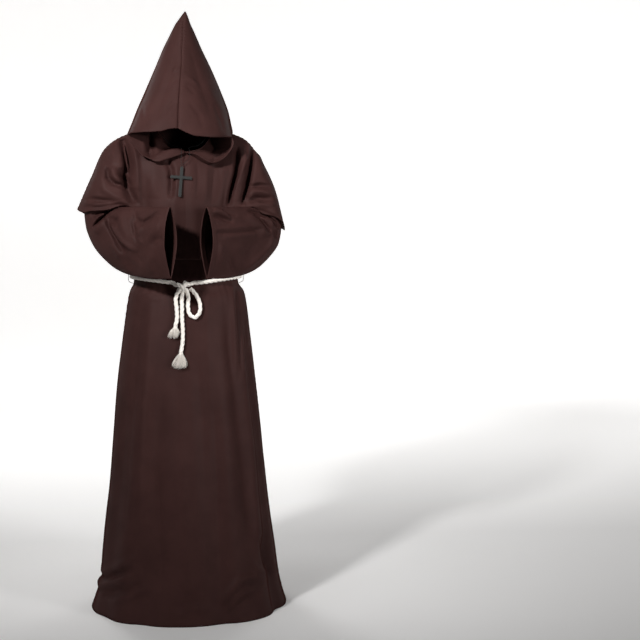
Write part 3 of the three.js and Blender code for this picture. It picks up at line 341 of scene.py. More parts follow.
def through(xs, ys):
    """A curve through table values that never overshoots between two rows."""
    xs = np.array(xs, float)
    ys = np.array(ys, float)
    slope = (ys[1:] - ys[:-1]) / (xs[1:] - xs[:-1])
    m = [slope[0]]
    for a, b in zip(slope[:-1], slope[1:]):
        m.append(0.0 if a * b <= 0 else 2 * a * b / (a + b))
    m.append(slope[-1])
    m = np.array(m)

    def at(x):
        x = np.clip(np.asarray(x, float), xs[0], xs[-1])
        i = np.clip(np.searchsorted(xs, x, side="left") - 1, 0, len(xs) - 2)
        h = xs[i + 1] - xs[i]
        return hermite((x - xs[i]) / h, h, ys[i], ys[i + 1], m[i], m[i + 1])

    return at


def columns_of(table):
    """One curve for each column of a table after its first."""
    rows = sorted(table)
    keys = [row[0] for row in rows]
    return [through(keys, [row[k] for row in rows]) for k in range(1, len(rows[0]))]


robe_right, robe_left, robe_front_deep, robe_back_deep = columns_of(ROBE_SECTIONS)
neck_radius, neck_level = columns_of(NECK_RING)
sleeve_columns = columns_of(SLEEVE_RINGS)
left_closer = through([row[0] for row in LEFT_CLOSER], [row[1] for row in LEFT_CLOSER])
cape_right_columns = columns_of(CAPE_RIGHT)
cape_left_columns = columns_of(CAPE_LEFT)
hood_columns = columns_of(HOOD_SECTIONS)
brim_right, brim_left = columns_of(BRIM)
lapel_right = columns_of(LAPEL_RIGHT)
lapel_left = columns_of(LAPEL_LEFT)


def wrap_angle(a):
    return (a + 180.0) % 360.0 - 180.0


def pack(x, y, z):
    x, y, z = np.broadcast_arrays(x, y, z)
    return np.stack([x, y, z], axis=-1).astype(float)


def rounded_radius(s, c, wide, deep, power):
    """Radius of a rounded rectangle in the direction whose sine and cosine are given."""
    return 1 / ((np.abs(s) / wide) ** power + (np.abs(c) / deep) ** power) ** (1 / power)


def hermite(t, h, y0, y1, m0, m1):
    """The cubic from y0 to y1 over a span h, with the slopes m0 and m1 at its ends."""
    t2 = t * t
    t3 = t2 * t
    start = (2 * t3 - 3 * t2 + 1) * y0 + (t3 - 2 * t2 + t) * h * m0
    return start + (3 * t2 - 2 * t3) * y1 + (t3 - t2) * h * m1


# The garment's form, the same as the frame's solids
def belt_level(angle):
    front = np.maximum(0, np.cos(np.radians(angle)))
    return BELT_LEVEL - BELT_SAG * front ** 3


def robe_point(angle, z):
    angle, z = np.broadcast_arrays(np.asarray(angle, float), np.asarray(z, float))
    s = np.sin(np.radians(angle))
    c = np.cos(np.radians(angle))
    wide = np.where(s < 0, robe_right(z), robe_left(z))
    deep = np.where(c > 0, robe_front_deep(z), robe_back_deep(z))
    radius = rounded_radius(s, c, wide, deep, ROBE_ROUNDNESS)
    inward = np.zeros_like(radius)
    for at_belt, at_hem, depth, wide_fold, top, bottom in ROBE_FOLDS:
        down = (top - z) / (top - FLOOR)
        centre = at_belt + (at_hem - at_belt) * down
        away = wrap_angle(angle - centre) / wide_fold
        fade = smooth(np.clip((top - z) / (top - bottom) * 4, 0, 1))
        if bottom > FLOOR + 1:
            fade = fade * smooth(np.clip((z - bottom) / 200, 0, 1))
        inward += np.where((z <= top) & (z >= bottom), depth * fade * np.exp(-away * away), 0)
    r = radius - inward
    near = np.clip(1 - np.abs(z - BELT_LEVEL) / 120, 0, 1)
    level = z + (belt_level(angle) - BELT_LEVEL) * smooth(near)
    return pack(s * r, -c * r, level)


def neck_point(angle, drop=0.0):
    angle = np.asarray(angle, float)
    away = np.abs(wrap_angle(angle))
    r = neck_radius(away)
    return pack(np.sin(np.radians(angle)) * r, -np.cos(np.radians(angle)) * r, neck_level(away) - drop)


def yoke_point(s, v, is_front):
    s, v = np.broadcast_arrays(np.asarray(s, float), np.asarray(v, float))
    face = -1.0 if is_front else 1.0
    t = np.abs(s)
    side = np.where(s < 0, -1.0, 1.0)
    angle = s * 90 if is_front else 180 - s * 90
    low = robe_point(angle, np.full_like(s, ARMPIT))
    turn = s / NECK_SHARE * 90
    on_neck = neck_point(turn if is_front else 180 - turn, ROBE_NECK_DROP)
    tip = pack(side * SHOULDER_TIP[0], SHOULDER_TIP[1], SHOULDER_TIP[2])
    corner = neck_point(side * 90, ROBE_NECK_DROP)
    u = np.clip((t - NECK_SHARE) / (1 - NECK_SHARE), 0, 1)[..., None]
    top = np.where((t <= NECK_SHARE)[..., None], on_neck, corner + (tip - corner) * u)
    edge = (t ** 4)[..., None]
    aside = smooth(np.clip(t / NECK_SHARE, 0, 1))[..., None]
    flat = np.hypot(top[..., 0], top[..., 1])
    radial = pack(top[..., 0] / flat * 18, top[..., 1] / flat * 18, -38.0)
    slope = radial + (pack(side * 4, face * 40, -22.0) - radial) * aside
    past = pack(0.0, face * 40, -22 + 12 * u[..., 0])
    # Handles of the curves that rise from the armpit to the neck, and along the arm to the shoulder
    body1 = low + np.array([0, face * 3, 72])
    body2 = top + np.where((t > NECK_SHARE)[..., None], past, slope)
    arm1 = pack(side * 156, face * 74, ARMPIT + 38)
    arm2 = pack(side * 178, face * 84, SHOULDER_TIP[2] - 24)
    p1 = body1 + (arm1 - body1) * edge
    p2 = body2 + (arm2 - body2) * edge
    w = v[..., None]
    k = 1 - w
    return k ** 3 * low + 3 * k * k * w * p1 + 3 * k * w * w * p2 + w ** 3 * top


def armhole_point(side, turn):
    t = np.asarray(turn, float) % 360
    s = np.full_like(t, side)
    in_front = yoke_point(s, np.clip(1 - t / 180, 0, 1), True)
    behind = yoke_point(s, np.clip((t - 180) / 180, 0, 1), False)
    return np.where((t <= 180)[..., None], in_front, behind)


def cuff_pinch(at, co):
    """The cuff hangs flatter towards its lower corner and its upper edge than the sleeve above it."""
    near = smooth(np.clip((at - 2.8) / 1.2, 0, 1))
    return 1 - near * (0.62 * np.maximum(0, co) ** 1.4 + 0.35 * np.maximum(0, -co) ** 2)


def sleeve_ring(side, at, turn):
    k = np.maximum(at, SLEEVE_RINGS[0][0])
    cx, cy, cz, ox, oy, oz, fx, fy, fz = [curve(k) for curve in sleeve_columns]
    co = np.cos(np.radians(turn))
    si = np.sin(np.radians(turn)) * cuff_pinch(k, co)
    x = cx + ox * co + fx * si
    if side > 0:
        x = LEFT_CUFF_SHIFT * smooth(np.clip((k - 1) / 3, 0, 1)) - x * left_closer(k)
    return pack(x, cy + oy * co + fy * si, cz + oz * co + fz * si)


def sleeve_point(side, at, turn):
    at, turn = np.broadcast_arrays(np.asarray(at, float), np.asarray(turn, float))
    first = SLEEVE_RINGS[0][0]
    ring = sleeve_ring(side, at, turn)
    t = np.clip(at / first, 0, 1)
    start = armhole_point(side, turn - 45)
    share = (smooth(t) * 0.4 + t * 0.6)[..., None]
    lift = SLEEVE_HEAD * np.sin(math.pi * t) * np.maximum(0, np.cos(np.radians(turn - 45)))
    head = start + (sleeve_ring(side, np.full_like(at, first), turn) - start) * share
    head = head + lift[..., None] * np.array([side * 0.75, 0, 0.66])
    return np.where((at >= first)[..., None], ring, head)


def cape_point(angle, v):
    angle, v = np.broadcast_arrays(np.asarray(angle, float), np.asarray(v, float))
    turn = wrap_angle(angle)
    away = np.abs(turn)
    neck = neck_point(angle)
    right = [curve(away) for curve in cape_right_columns]
    left = [curve(away) for curve in cape_left_columns]
    values = [np.where(turn < 0, a, b) for a, b in zip(right, left)]
    r = monotone5(np.stack([neck_radius(away), values[0], values[2], values[4], values[6]]), v)
    z = monotone5(np.stack([neck[..., 2], values[1], values[3], values[5], values[7]]), v)
    for at_neck, at_hem, out, wide in CAPE_FOLDS:
        off = wrap_angle(angle - (at_neck + (at_hem - at_neck) * v)) / wide
        r = r + out * v ** 0.8 * np.exp(-off * off)
    return pack(np.sin(np.radians(angle)) * r, -np.cos(np.radians(angle)) * r, z)


def monotone5(ys, v):
    """Five evenly spaced values for each point, read at v from 0 to 1 without overshoot."""
    h = 0.25
    slope = (ys[1:] - ys[:-1]) / h
    m = [slope[0]]
    for k in range(3):
        a, b = slope[k], slope[k + 1]
        total = np.where(np.abs(a + b) < 1e-9, 1.0, a + b)
        m.append(np.where(a * b <= 0, 0.0, 2 * a * b / total))
    m.append(slope[3])
    m = np.stack(m)
    i = np.clip((v / h).astype(int), 0, 3)
    t = (v - i * h) / h

    def pick(values, k):
        return np.take_along_axis(values, k[None], axis=0)[0]

    return hermite(t, h, pick(ys, i), pick(ys, i + 1), pick(m, i), pick(m, i + 1))


def hood_point(side, away, v):
    away, v = np.broadcast_arrays(np.asarray(away, float), np.asarray(v, float))
    low = brim_right(away) if side < 0 else brim_left(away)
    z = HOOD_TOP + (low - HOOD_TOP) * v ** 1.15
    right, left, front, back, mid, shift, power = [curve(z) for curve in hood_columns]
    s = np.sin(np.radians(away))
    k = np.cos(np.radians(away))
    wide = right if side < 0 else left
    deep = np.where(k > 0, front, back)
    r = rounded_radius(s, k, wide, deep, power)
    drift = -20 * smooth(np.clip((HOOD_TOP - z) / 360, 0, 1)) * np.maximum(0, k) ** 2
    return pack(side * s * r + shift + drift, mid - k * r, z)


def cowl_point(side, away, w):
    away, w = np.broadcast_arrays(np.asarray(away, float), np.asarray(w, float))
    inner = neck_point(side * away)
    brim = hood_point(side, away, np.ones_like(away))
    to_back = np.clip((away - HOOD_SWITCH) / (180 - HOOD_SWITCH), 0, 1)
    q = np.clip(1 - away / HOOD_SWITCH, 0, 1)
    x, y, z, arch = [curve(q) for curve in (lapel_right if side < 0 else lapel_left)]
    corner = hood_point(side, HOOD_SWITCH, 1.0)
    weld = smooth(np.clip(1 - q / 0.16, 0, 1))[..., None]
    edge = pack(x, y, z)
    edge = edge + (corner - edge) * weld
    is_brim = away >= HOOD_SWITCH
    outer = np.where(is_brim[..., None], brim, edge)
    lift = np.where(is_brim, 4 - 10 * to_back, arch)
    bulge = lift * np.sin(math.pi * w ** 0.8)
    # The left lapel sinks behind its free edge into a dark pocket, the right one lies flatter
    way = np.array([0, -0.8 if side > 0 else 0.0, 1.0])
    return outer + (inner - outer) * w[..., None] + bulge[..., None] * way


# Cloth: a fine grid on the form, moved along its normals by creases, then given its thickness
def grid_normals(points, flip):
    down = np.gradient(points, axis=0)
    across = np.gradient(points, axis=1)
    n = np.cross(across, down) if not flip else np.cross(down, across)
    length = np.linalg.norm(n, axis=-1, keepdims=True)
    return n / np.maximum(length, 1e-9)


def crease_height(points, creases, valley_power=SOFT_VALLEY):
    """Height of all creases at each point, measured across and up."""
    total = np.zeros(points.shape[:2])
    x = points[..., 0]
    z = points[..., 2]
    for wide, out, *line in creases:
        corners = list(zip(line[::2], line[1::2]))
        nearest = np.full(x.shape, 1e9)
        along = np.zeros(x.shape)
        length = sum(math.dist(a, b) for a, b in zip(corners[:-1], corners[1:]))
        walked = 0.0
        for (ax, az), (bx, bz) in zip(corners[:-1], corners[1:]):
            dx, dz = bx - ax, bz - az
            span = math.hypot(dx, dz)
            t = np.clip(((x - ax) * dx + (z - az) * dz) / span ** 2, 0, 1)
            d = np.hypot(x - ax - t * dx, z - az - t * dz)
            closer = d < nearest
            nearest = np.where(closer, d, nearest)
            along = np.where(closer, (walked + t * span) / length, along)
            walked += span
        taper = np.sin(math.pi * np.clip(along, 0, 1)) ** 0.5 * 0.85 + 0.15
        # Ridges are round and valleys are sharp, as in bent cloth
        total += out * taper * np.exp(-(nearest / wide) ** (2.0 if out > 0 else valley_power))
    return total


def deep_folds(points, creases):
    """The deep folds alone, which have steep sides."""
    return crease_height(points, [c for c in creases if c[1] <= DEEP_FOLD], STEEP_VALLEY)


def creased(points, normals, creases, facing):
    """Shallow creases move the cloth along its normals, and deep folds run straight in from front or back."""
    shallow = crease_height(points, [c for c in creases if c[1] > DEEP_FOLD])
    move = normals * (shallow * facing)[..., None]
    move[..., 1] -= deep_folds(points, creases) * np.sign(-normals[..., 1]) * facing
    return move


def cape_fold_push(points, normals):
    """The cape's deep front folds carry on through the robe and sleeves that lie under it."""
    return -deep_folds(points, CAPE_FRONT_CREASES) * smooth(np.clip(-normals[..., 1] * 3, 0, 1))


def edge_line(points, edge):
    """The grid's points along one edge."""
    lines = {"left": points[:, :1], "right": points[:, -1:], "bottom": points[:1, :], "top": points[-1:, :]}
    return lines[edge]


def from_edge(points, edge):
    return np.linalg.norm(points - edge_line(points, edge), axis=-1)


def run_along(path):
    """Distance walked from the path's start to each of its points."""
    return np.concatenate([[0], np.cumsum(np.linalg.norm(path[1:] - path[:-1], axis=1))])


def scattered_height(points, seed, count, size, height, reach):
    """Small soft wrinkles at seeded places, so that no stretch of cloth is quite even."""
    rng = random.Random(seed)
    rows, cols = points.shape[:2]
    total = np.zeros((rows, cols))
    for _ in range(count):
        centre = points[rng.randrange(rows), rng.randrange(cols)]
        turn = rng.uniform(0, math.pi)
        steep = rng.uniform(-1, 1)
        axis = np.array([math.cos(turn) * 0.5, math.sin(turn) * 0.3, 0.8 + 0.2 * steep])
        axis = axis / np.linalg.norm(axis)
        away = points - centre
        along = away @ axis
        across = np.linalg.norm(away - along[..., None] * axis, axis=-1)
        long = rng.uniform(0.5, 1.0) * reach
        wide = rng.uniform(0.6, 1.2) * size
        total += rng.uniform(-1, 1) * height * np.exp(-(along / long) ** 2 - (across / wide) ** 2)
    return total


def seam_height(points, edge, depth=1.6, wide=3.5, pucker=0.9, pitch=13.0):
    """A seam pulls the cloth in along an edge of the grid and leaves small puckers beside it."""
    distance = from_edge(points, edge)
    steps = run_along(edge_line(points, edge).reshape(-1, 3))
    run = steps[:, None] if edge in ("left", "right") else steps[None, :]
    wave = np.sin(run * 2 * math.pi / pitch + 1.3 * np.sin(run / 31.0)) * (0.6 + 0.4 * np.sin(run / 47.0))
    beside = np.exp(-((distance - 5) / 6) ** 2)
    return -depth * np.exp(-(distance / wide) ** 2) + pucker * wave * beside


def hem_height(points, edge, turn_up, depth=0.9):
    """The stitched edge of a turned-up hem."""
    return -depth * np.exp(-((from_edge(points, edge) - turn_up) / 2.2) ** 2)


def mesh_object(name, vertices, faces, material, node, smooth_shading=True):
    """A mesh from points in millimetres, which takes a node's place on the root body where one is named."""
    mesh = bpy.data.meshes.new(name)
    mesh.from_pydata([tuple(float(c) * 0.001 for c in v) for v in vertices], [], faces)
    mesh.validate()
    obj = bpy.data.objects.new(name, mesh)
    bpy.context.scene.collection.objects.link(obj)
    mesh.materials.append(material)
    if smooth_shading:
        mesh.polygons.foreach_set("use_smooth", [True] * len(mesh.polygons))
    if node:
        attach(obj, "root")
        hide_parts(node)
    return obj


def sheet_faces(rows, cols, first=0, closed=False):
    faces = []
    for i in range(rows - 1):
        for j in range(cols if closed else cols - 1):
            k = (j + 1) % cols
            a = first + i * cols
            faces.append((a + j, a + k, a + cols + k, a + cols + j))
    return faces


def tube_faces(rows, cols):
    """A tube's faces, turned outwards."""
    return [tuple(reversed(f)) for f in sheet_faces(rows, cols, 0, True)]


def cloth_wall(node, patches, flip):
    """One sewn piece: patches of points that share edges, closed into a wall as thick as the cloth."""
    vertices = []
    faces = []
    for points in patches:
        new = sheet_faces(*points.shape[:2], len(vertices))
        faces += [tuple(reversed(f)) for f in new] if flip else new
        vertices += list(points.reshape(-1, 3))
    obj = mesh_object(node + "_cloth", vertices, faces, cloth(), node)
    weld = obj.modifiers.new("weld", "WELD")
    weld.merge_threshold = 0.00005
    wall = obj.modifiers.new("cloth", "SOLIDIFY")
    wall.thickness = CLOTH * 0.001
    wall.offset = -1
    wall.use_even_offset = False


def edge_fade(points, *edges, reach=14.0):
    """From 0 at the named edges of the grid to 1 inside, so that neighbours still meet."""
    fade = np.ones(points.shape[:2])
    for edge in edges:
        fade = fade * smooth(np.clip(from_edge(points, edge) / reach, 0, 1))
    return fade


def robe_panel(node, creases, seed):
    is_front = node == "robe_front"
    columns, on_skirt, on_bodice, on_yoke = ROBE_GRID
    across = np.linspace(-1, 1, columns)
    skirt = np.linspace(FLOOR, BELT_LEVEL - 40, on_skirt)
    bodice = np.linspace(BELT_LEVEL - 32, ARMPIT, on_bodice)
    angles = across * 90 if is_front else 180 - across * 90
    body = robe_point(angles[None, :], np.concatenate([skirt, bodice])[:, None])
    yoke = yoke_point(across[None, :], np.linspace(0, 1, on_yoke)[1:, None], is_front)
    points = np.concatenate([body, yoke], axis=0)
    flip = not is_front
    n = grid_normals(points, flip)
    z = points[..., 2]
    belt = belt_level(angles)[None, :]
    # The belt gathers small ripples above and below it, and presses the cloth flat where it lies
    gather = np.exp(-((z - belt) / 60) ** 2)
    ripple = np.sin(across * 47 + 2.0 * np.sin(across * 13)) * 0.6 + np.sin(across * 81 + 1) * 0.4
    under_belt = smooth(np.clip(np.abs(z - belt) / 16, 0, 1))
    fade = edge_fade(points, "left", "right", "top")
    height = crease_height(points, creases)
    height += scattered_height(points, seed, 34, 18.0, 1.0, 110.0)
    height += ripple[None, :] * gather
    height *= under_belt
    height *= fade
    height += hem_height(points, "bottom", 24.0)
    height += seam_height(points, "left", 1.2) + seam_height(points, "right", 1.2)
    height = np.where(z < FLOOR + 10, np.minimum(height, 3), height)
    moved = points + n * height[..., None]
    if is_front:
        moved[..., 1] += cape_fold_push(points, n) * fade
    moved[..., 2] = np.maximum(moved[..., 2], FLOOR)
    cloth_wall(node, [moved], flip)


def sleeve(node, side, seed):
    creases = [(wide, out * (1.6 if out < 0 else 1.3), *line) for wide, out, *line in SLEEVE_FRONT_CREASES]
    first = SLEEVE_RINGS[0][0]
    columns, on_head, on_arm = SLEEVE_GRID
    ats = np.concatenate([np.linspace(0, first, on_head), np.linspace(first, 4, on_arm)[1:]])
    turns = np.linspace(45, 405, columns)
    points = sleeve_point(side, ats[:, None], turns[None, :])
    flip = side < 0
    n = grid_normals(points, flip)
    fade = edge_fade(points, "bottom", reach=20)
    front = np.clip(-n[..., 1] * 1.6 + 0.1, 0, 1)
    folds = creased(points, n, creases, front) * fade[..., None]
    # The hidden side has similar creases, softer and wider
    behind = crease_height(points, [(wide * 1.2, out * 0.8, *line) for wide, out, *line in creases])
    height = behind * np.clip(n[..., 1] * 1.6 - 0.1, 0, 1)
    height += scattered_height(points, seed, 24, 12.0, 0.9, 50.0)
    height *= fade
    height -= 1.2 * np.exp(-(from_edge(points, "bottom") / 3.5) ** 2)
    height += hem_height(points, "top", 20.0)
    moved = points + n * height[..., None] + folds
    moved[..., 1] += cape_fold_push(points, n) * fade
    moved[:, -1] = moved[:, 0]
    cloth_wall(node, [moved], flip)


def cape_panel(node, creases, seed):
    columns, rows = CAPE_GRID
    begin = -90 if node == "cape_front" else 90
    turns = np.linspace(begin, begin + 180, columns)
    points = cape_point(turns[None, :], np.linspace(0, 1, rows)[:, None])
    n = grid_normals(points, True)
    fade = edge_fade(points, "left", "right", "bottom", reach=18)
    folds = creased(points, n, creases, fade)
    height = scattered_height(points, seed, 22, 14.0, 0.7, 60.0) * fade
    height += hem_height(points, "top", 18.0)
    height += seam_height(points, "left", 1.0) + seam_height(points, "right", 1.0)
    height += seam_height(points, "bottom", 1.2)
    cloth_wall(node, [points + n * height[..., None] + folds], True)


def hood_half(node, side, seed):
    columns = len(HOOD_COLUMNS)
    away = np.interp(np.linspace(0, columns - 1, 4 * columns - 3), np.arange(columns), HOOD_COLUMNS)
    on_cone, on_cowl = HOOD_GRID
    cone = hood_point(side, away[None, :], np.linspace(0, 1, on_cone)[:, None])
    tip = np.broadcast_to(np.array(HOOD_TIP), cone[:1].shape)
    cone = np.concatenate([tip + (cone[:1] - tip) * 0.35, cone], axis=0)
    cowl = cowl_point(side, away[None, :], np.linspace(0, 1, on_cowl)[:, None])
    flip = side > 0
    patches = []
    for points in (cone, cowl):
        n = grid_normals(points, flip)
        front = np.clip(-n[..., 1] * 1.5 + 0.2, 0, 1)
        height = crease_height(points, HOOD_FRONT_CREASES) * front
        height += crease_height(points, HOOD_BACK_CREASES) * np.clip(n[..., 1] * 1.5, 0, 1)
        height += scattered_height(points, seed, 16, 16.0, 0.7, 60.0)
        if points is cone:
            height *= edge_fade(points, "left", "right", "top", reach=16)
            height += seam_height(points, "left", 1.8, 4.0, 1.4, 11.0)
            height += seam_height(points, "right", 1.8, 4.0, 1.0, 13.0)
            height *= smooth(np.clip((HOOD_TOP - 2 - points[..., 2]) / 30, 0, 1))
            moved = points + n * height[..., None]
            moved[-1] = cone[-1]
        else:
            height *= 0.6 * edge_fade(points, "left", "right", "bottom", "top", reach=16)
            moved = points + n * height[..., None]
            # The collar's pleat and pocket run straight in
            inwards = -crease_height(points, COWL_CREASES) * (points[..., 1] < -20)
            moved[..., 1] += inwards * edge_fade(points, "left", "right", "bottom", "top", reach=7)
            moved[0] = cowl[0]
        patches.append(moved)
    cloth_wall(node, patches, flip)


# Ropes, strands and links
def frames_along(points):
    """Two even directions across a path, carried along it without twist."""
    tangents = np.gradient(points, axis=0)
    tangents /= np.linalg.norm(tangents, axis=1, keepdims=True)
    side = np.cross(tangents[0], np.array([0.0, 0.0, 1.0]))
    if np.linalg.norm(side) < 0.1:
        side = np.cross(tangents[0], np.array([1.0, 0.0, 0.0]))
    side /= np.linalg.norm(side)
    first = []
    for t in tangents:
        side = side - t * np.dot(side, t)
        side /= np.linalg.norm(side)
        first.append(side)
    first = np.array(first)
    return tangents, first, np.cross(tangents, first)


def resampled(points, spacing):
    """A smooth path through the points, at an even spacing."""
    p = np.array(points, float)
    ends = np.vstack([2 * p[0] - p[1], p, 2 * p[-1] - p[-2]])
    fine = []
    for i in range(len(p) - 1):
        a, b, c, d = ends[i:i + 4]
        ta = 0.0
        tb = ta + np.linalg.norm(b - a) ** 0.5
        tc = tb + np.linalg.norm(c - b) ** 0.5
        td = tc + np.linalg.norm(d - c) ** 0.5
        for k in range(16):
            t = tb + (tc - tb) * k / 16
            ab = (tb - t) / (tb - ta) * a + (t - ta) / (tb - ta) * b
            bc = (tc - t) / (tc - tb) * b + (t - tb) / (tc - tb) * c
            cd = (td - t) / (td - tc) * c + (t - tc) / (td - tc) * d
            abc = (tc - t) / (tc - ta) * ab + (t - ta) / (tc - ta) * bc
            bcd = (td - t) / (td - tb) * bc + (t - tb) / (td - tb) * cd
            fine.append((tc - t) / (tc - tb) * abc + (t - tb) / (tc - tb) * bcd)
    fine.append(p[-1])
    fine = np.array(fine)
    run = run_along(fine)
    steps = max(2, int(round(run[-1] / spacing)) + 1)
    at = np.linspace(0, run[-1], steps)
    return np.stack([np.interp(at, run, fine[:, k]) for k in range(3)], axis=1), run[-1]


def rope_geometry(path, diameter, phase=0.0, sides=30):
    """Three strands laid round each other, as one lobed skin that twists along the path."""
    _, u, w = frames_along(path)
    run = run_along(path)
    turn = run / (ROPE_LAY * diameter) * 2 * math.pi + phase
    theta = np.arange(sides) / sides * 2 * math.pi
    lobe = np.abs(np.cos(1.5 * (theta[None, :] - turn[:, None]))) ** 0.75
    yarn = 1 + 0.012 * np.sin(theta[None, :] * 9 - run[:, None] / diameter * 9.0)
    radius = diameter / 2 * (ROPE_CORE + (1 - ROPE_CORE) * lobe) * yarn
    co = np.cos(theta)[None, :, None]
    si = np.sin(theta)[None, :, None]
    ring = path[:, None, :] + radius[..., None] * (u[:, None, :] * co + w[:, None, :] * si)
    rows = len(path)
    vertices = list(ring.reshape(-1, 3)) + [path[0], path[-1]]
    faces = tube_faces(rows, sides)
    last = (rows - 1) * sides
    for j in range(sides):
        k = (j + 1) % sides
        faces.append((rows * sides, k, j))
        faces.append((rows * sides + 1, last + j, last + k))
    return vertices, faces


def joined(parts):
    vertices = []
    faces = []
    for new_vertices, new_faces in parts:
        offset = len(vertices)
        vertices += list(new_vertices)
        faces += [tuple(i + offset for i in f) for f in new_faces]
    return vertices, faces


def belt_points():
    points = list(BELT_START)
    for k in range(37):
        angle = BELT_FROM + (BELT_TO - BELT_FROM) / 36 * k
        p = robe_point(angle, BELT_LEVEL)
        ahead = robe_point(angle + 1, BELT_LEVEL)
        out = np.array([ahead[1] - p[1], p[0] - ahead[0], 0.0])
        out /= np.linalg.norm(out)
        if out[0] * p[0] + out[1] * p[1] < 0:
            out = -out
        points.append(tuple(p + out * (ROPE / 2 + 1)))
    return points + list(BELT_END)


def knot_paths():
    """The knot's passes: a turn that binds it and two strands that cross in front and behind."""
    middle = np.array(KNOT_MIDDLE)
    turns = [k / 12 * 2 * math.pi for k in range(13)]
    wrap = [(2 + 3.5 * math.sin(a), -10.5 * math.cos(a), 13.5 * math.sin(a)) for a in turns]
    cross_over = [(-17, -1, 9), (-11, -8, 6), (0, -12, -1), (9, -9, -9), (12, -2, -13)]
    cross_under = [(17, 1, 8), (10, -5, 9), (-2, -7, 2), (-11, -6, -9), (-13, 0, -14)]
    return [[tuple(middle + p) for p in route] for route in (wrap, cross_over, cross_under)]


def strands(top, bottom, spread, depth, count, seed):
    """A frayed end: the rope's yarns let loose below a short head, each a thin wavy strand."""
    rng = random.Random(seed)
    top = np.array(top, float)
    bottom = np.array(bottom, float)
    down = (bottom - top) / np.linalg.norm(bottom - top)
    start = top + down * 0.4
    head = np.array([start + down * t for t in np.linspace(0, FRAYED_HEAD, 8)])
    parts = [rope_geometry(head, ROPE * 1.02, sides=24)]
    for _ in range(count):
        around = rng.uniform(0, 2 * math.pi)
        far = math.sqrt(rng.uniform(0.02, 1.0))
        u = math.cos(around) * far
        v = math.sin(around) * far
        root = start + down * rng.uniform(3.0, 8.0) + np.array([u, v, 0]) * YARN_SPREAD
        lift = rng.uniform(-1.0, 9.0) + 5 * far * far
        tip = bottom + np.array([u * spread / 2, v * depth / 2, lift])
        wave = rng.uniform(0.6, 2.4)
        phase = rng.uniform(0, 6.28)
        path = []
        for t in np.arange(YARN_POINTS) / (YARN_POINTS - 1):
            bow = math.sin(math.pi * t)
            aside = u * 4.0 * bow + wave * math.sin(phase + 5 * t) * t
            ahead = v * 2.5 * bow + wave * 0.6 * math.cos(phase + 4 * t) * t
            path.append(root + (tip - root) * t + np.array([aside, ahead, 0]))
        path = np.array(path)
        _, a, b = frames_along(path)
        thick = YARN_THICK * (1 - 0.45 * np.linspace(0, 1, YARN_POINTS))
        ring = [path + thick[:, None] * (a * math.cos(q) + b * math.sin(q)) for q in YARN_CORNERS]
        ring = np.stack(ring, axis=1).reshape(-1, 3)
        last = len(ring) - 1
        parts.append((ring, tube_faces(YARN_POINTS, 3) + [(0, 1, 2), (last, last - 1, last - 2)]))
    return joined(parts)


def link_geometry(centre, tangent, normal, long, wide, wire):
    """One oval chain link."""
    tangent = tangent / np.linalg.norm(tangent)
    normal = normal - tangent * np.dot(normal, tangent)
    normal = normal / np.linalg.norm(normal)
    out = np.cross(tangent, normal)
    vertices = []
    around, sides = 12, 5
    for i in range(around):
        a = i / around * 2 * math.pi
        ca, sa = math.cos(a), math.sin(a)
        middle = centre + tangent * ca * (long / 2) + normal * sa * (wide / 2)
        outward = tangent * ca + normal * sa
        for j in range(sides):
            b = j / sides * 2 * math.pi
            vertices.append(middle + (outward * math.cos(b) + out * math.sin(b)) * wire / 2)
    faces = []
    for i in range(around):
        for j in range(sides):
            k, m = (i + 1) % around, (j + 1) % sides
            faces.append((i * sides + j, k * sides + j, k * sides + m, i * sides + m))
    return vertices, faces


# Materials
def linear(colour):
    value = colour.lstrip("#")
    channels = [int(value[i:i + 2], 16) / 255 for i in (0, 2, 4)]
    return tuple(c / 12.92 if c <= 0.04045 else ((c + 0.055) / 1.055) ** 2.4 for c in channels) + (1.0,)


def new_material(name):
    material = bpy.data.materials.new(name)
    material.use_nodes = True
    tree = material.node_tree
    shader = next(n for n in tree.nodes if n.type == "BSDF_PRINCIPLED")
    return material, tree, shader


def add_node(tree, kind, inputs=None, **settings):
    node = tree.nodes.new(kind)
    for key, value in settings.items():
        setattr(node, key, value)
    for key, value in (inputs or {}).items():
        if isinstance(value, bpy.types.NodeSocket):
            tree.links.new(value, node.inputs[key])
        else:
            node.inputs[key].default_value = value
    return node


def mottled(tree, shader, noise, colour, low, high):
    """The colour between two shares of itself, as the noise goes."""
    tone = add_node(tree, "ShaderNodeMapRange", {
        "Value": noise.outputs["Fac"], "From Min": 0.3, "From Max": 0.7, "To Min": low, "To Max": high,
    })
    tinted = add_node(tree, "ShaderNodeVectorMath", {
        0: linear(colour)[:3], "Scale": tone.outputs["Result"],
    }, operation="SCALE")
    tree.links.new(tinted.outputs["Vector"], shader.inputs["Base Color"])


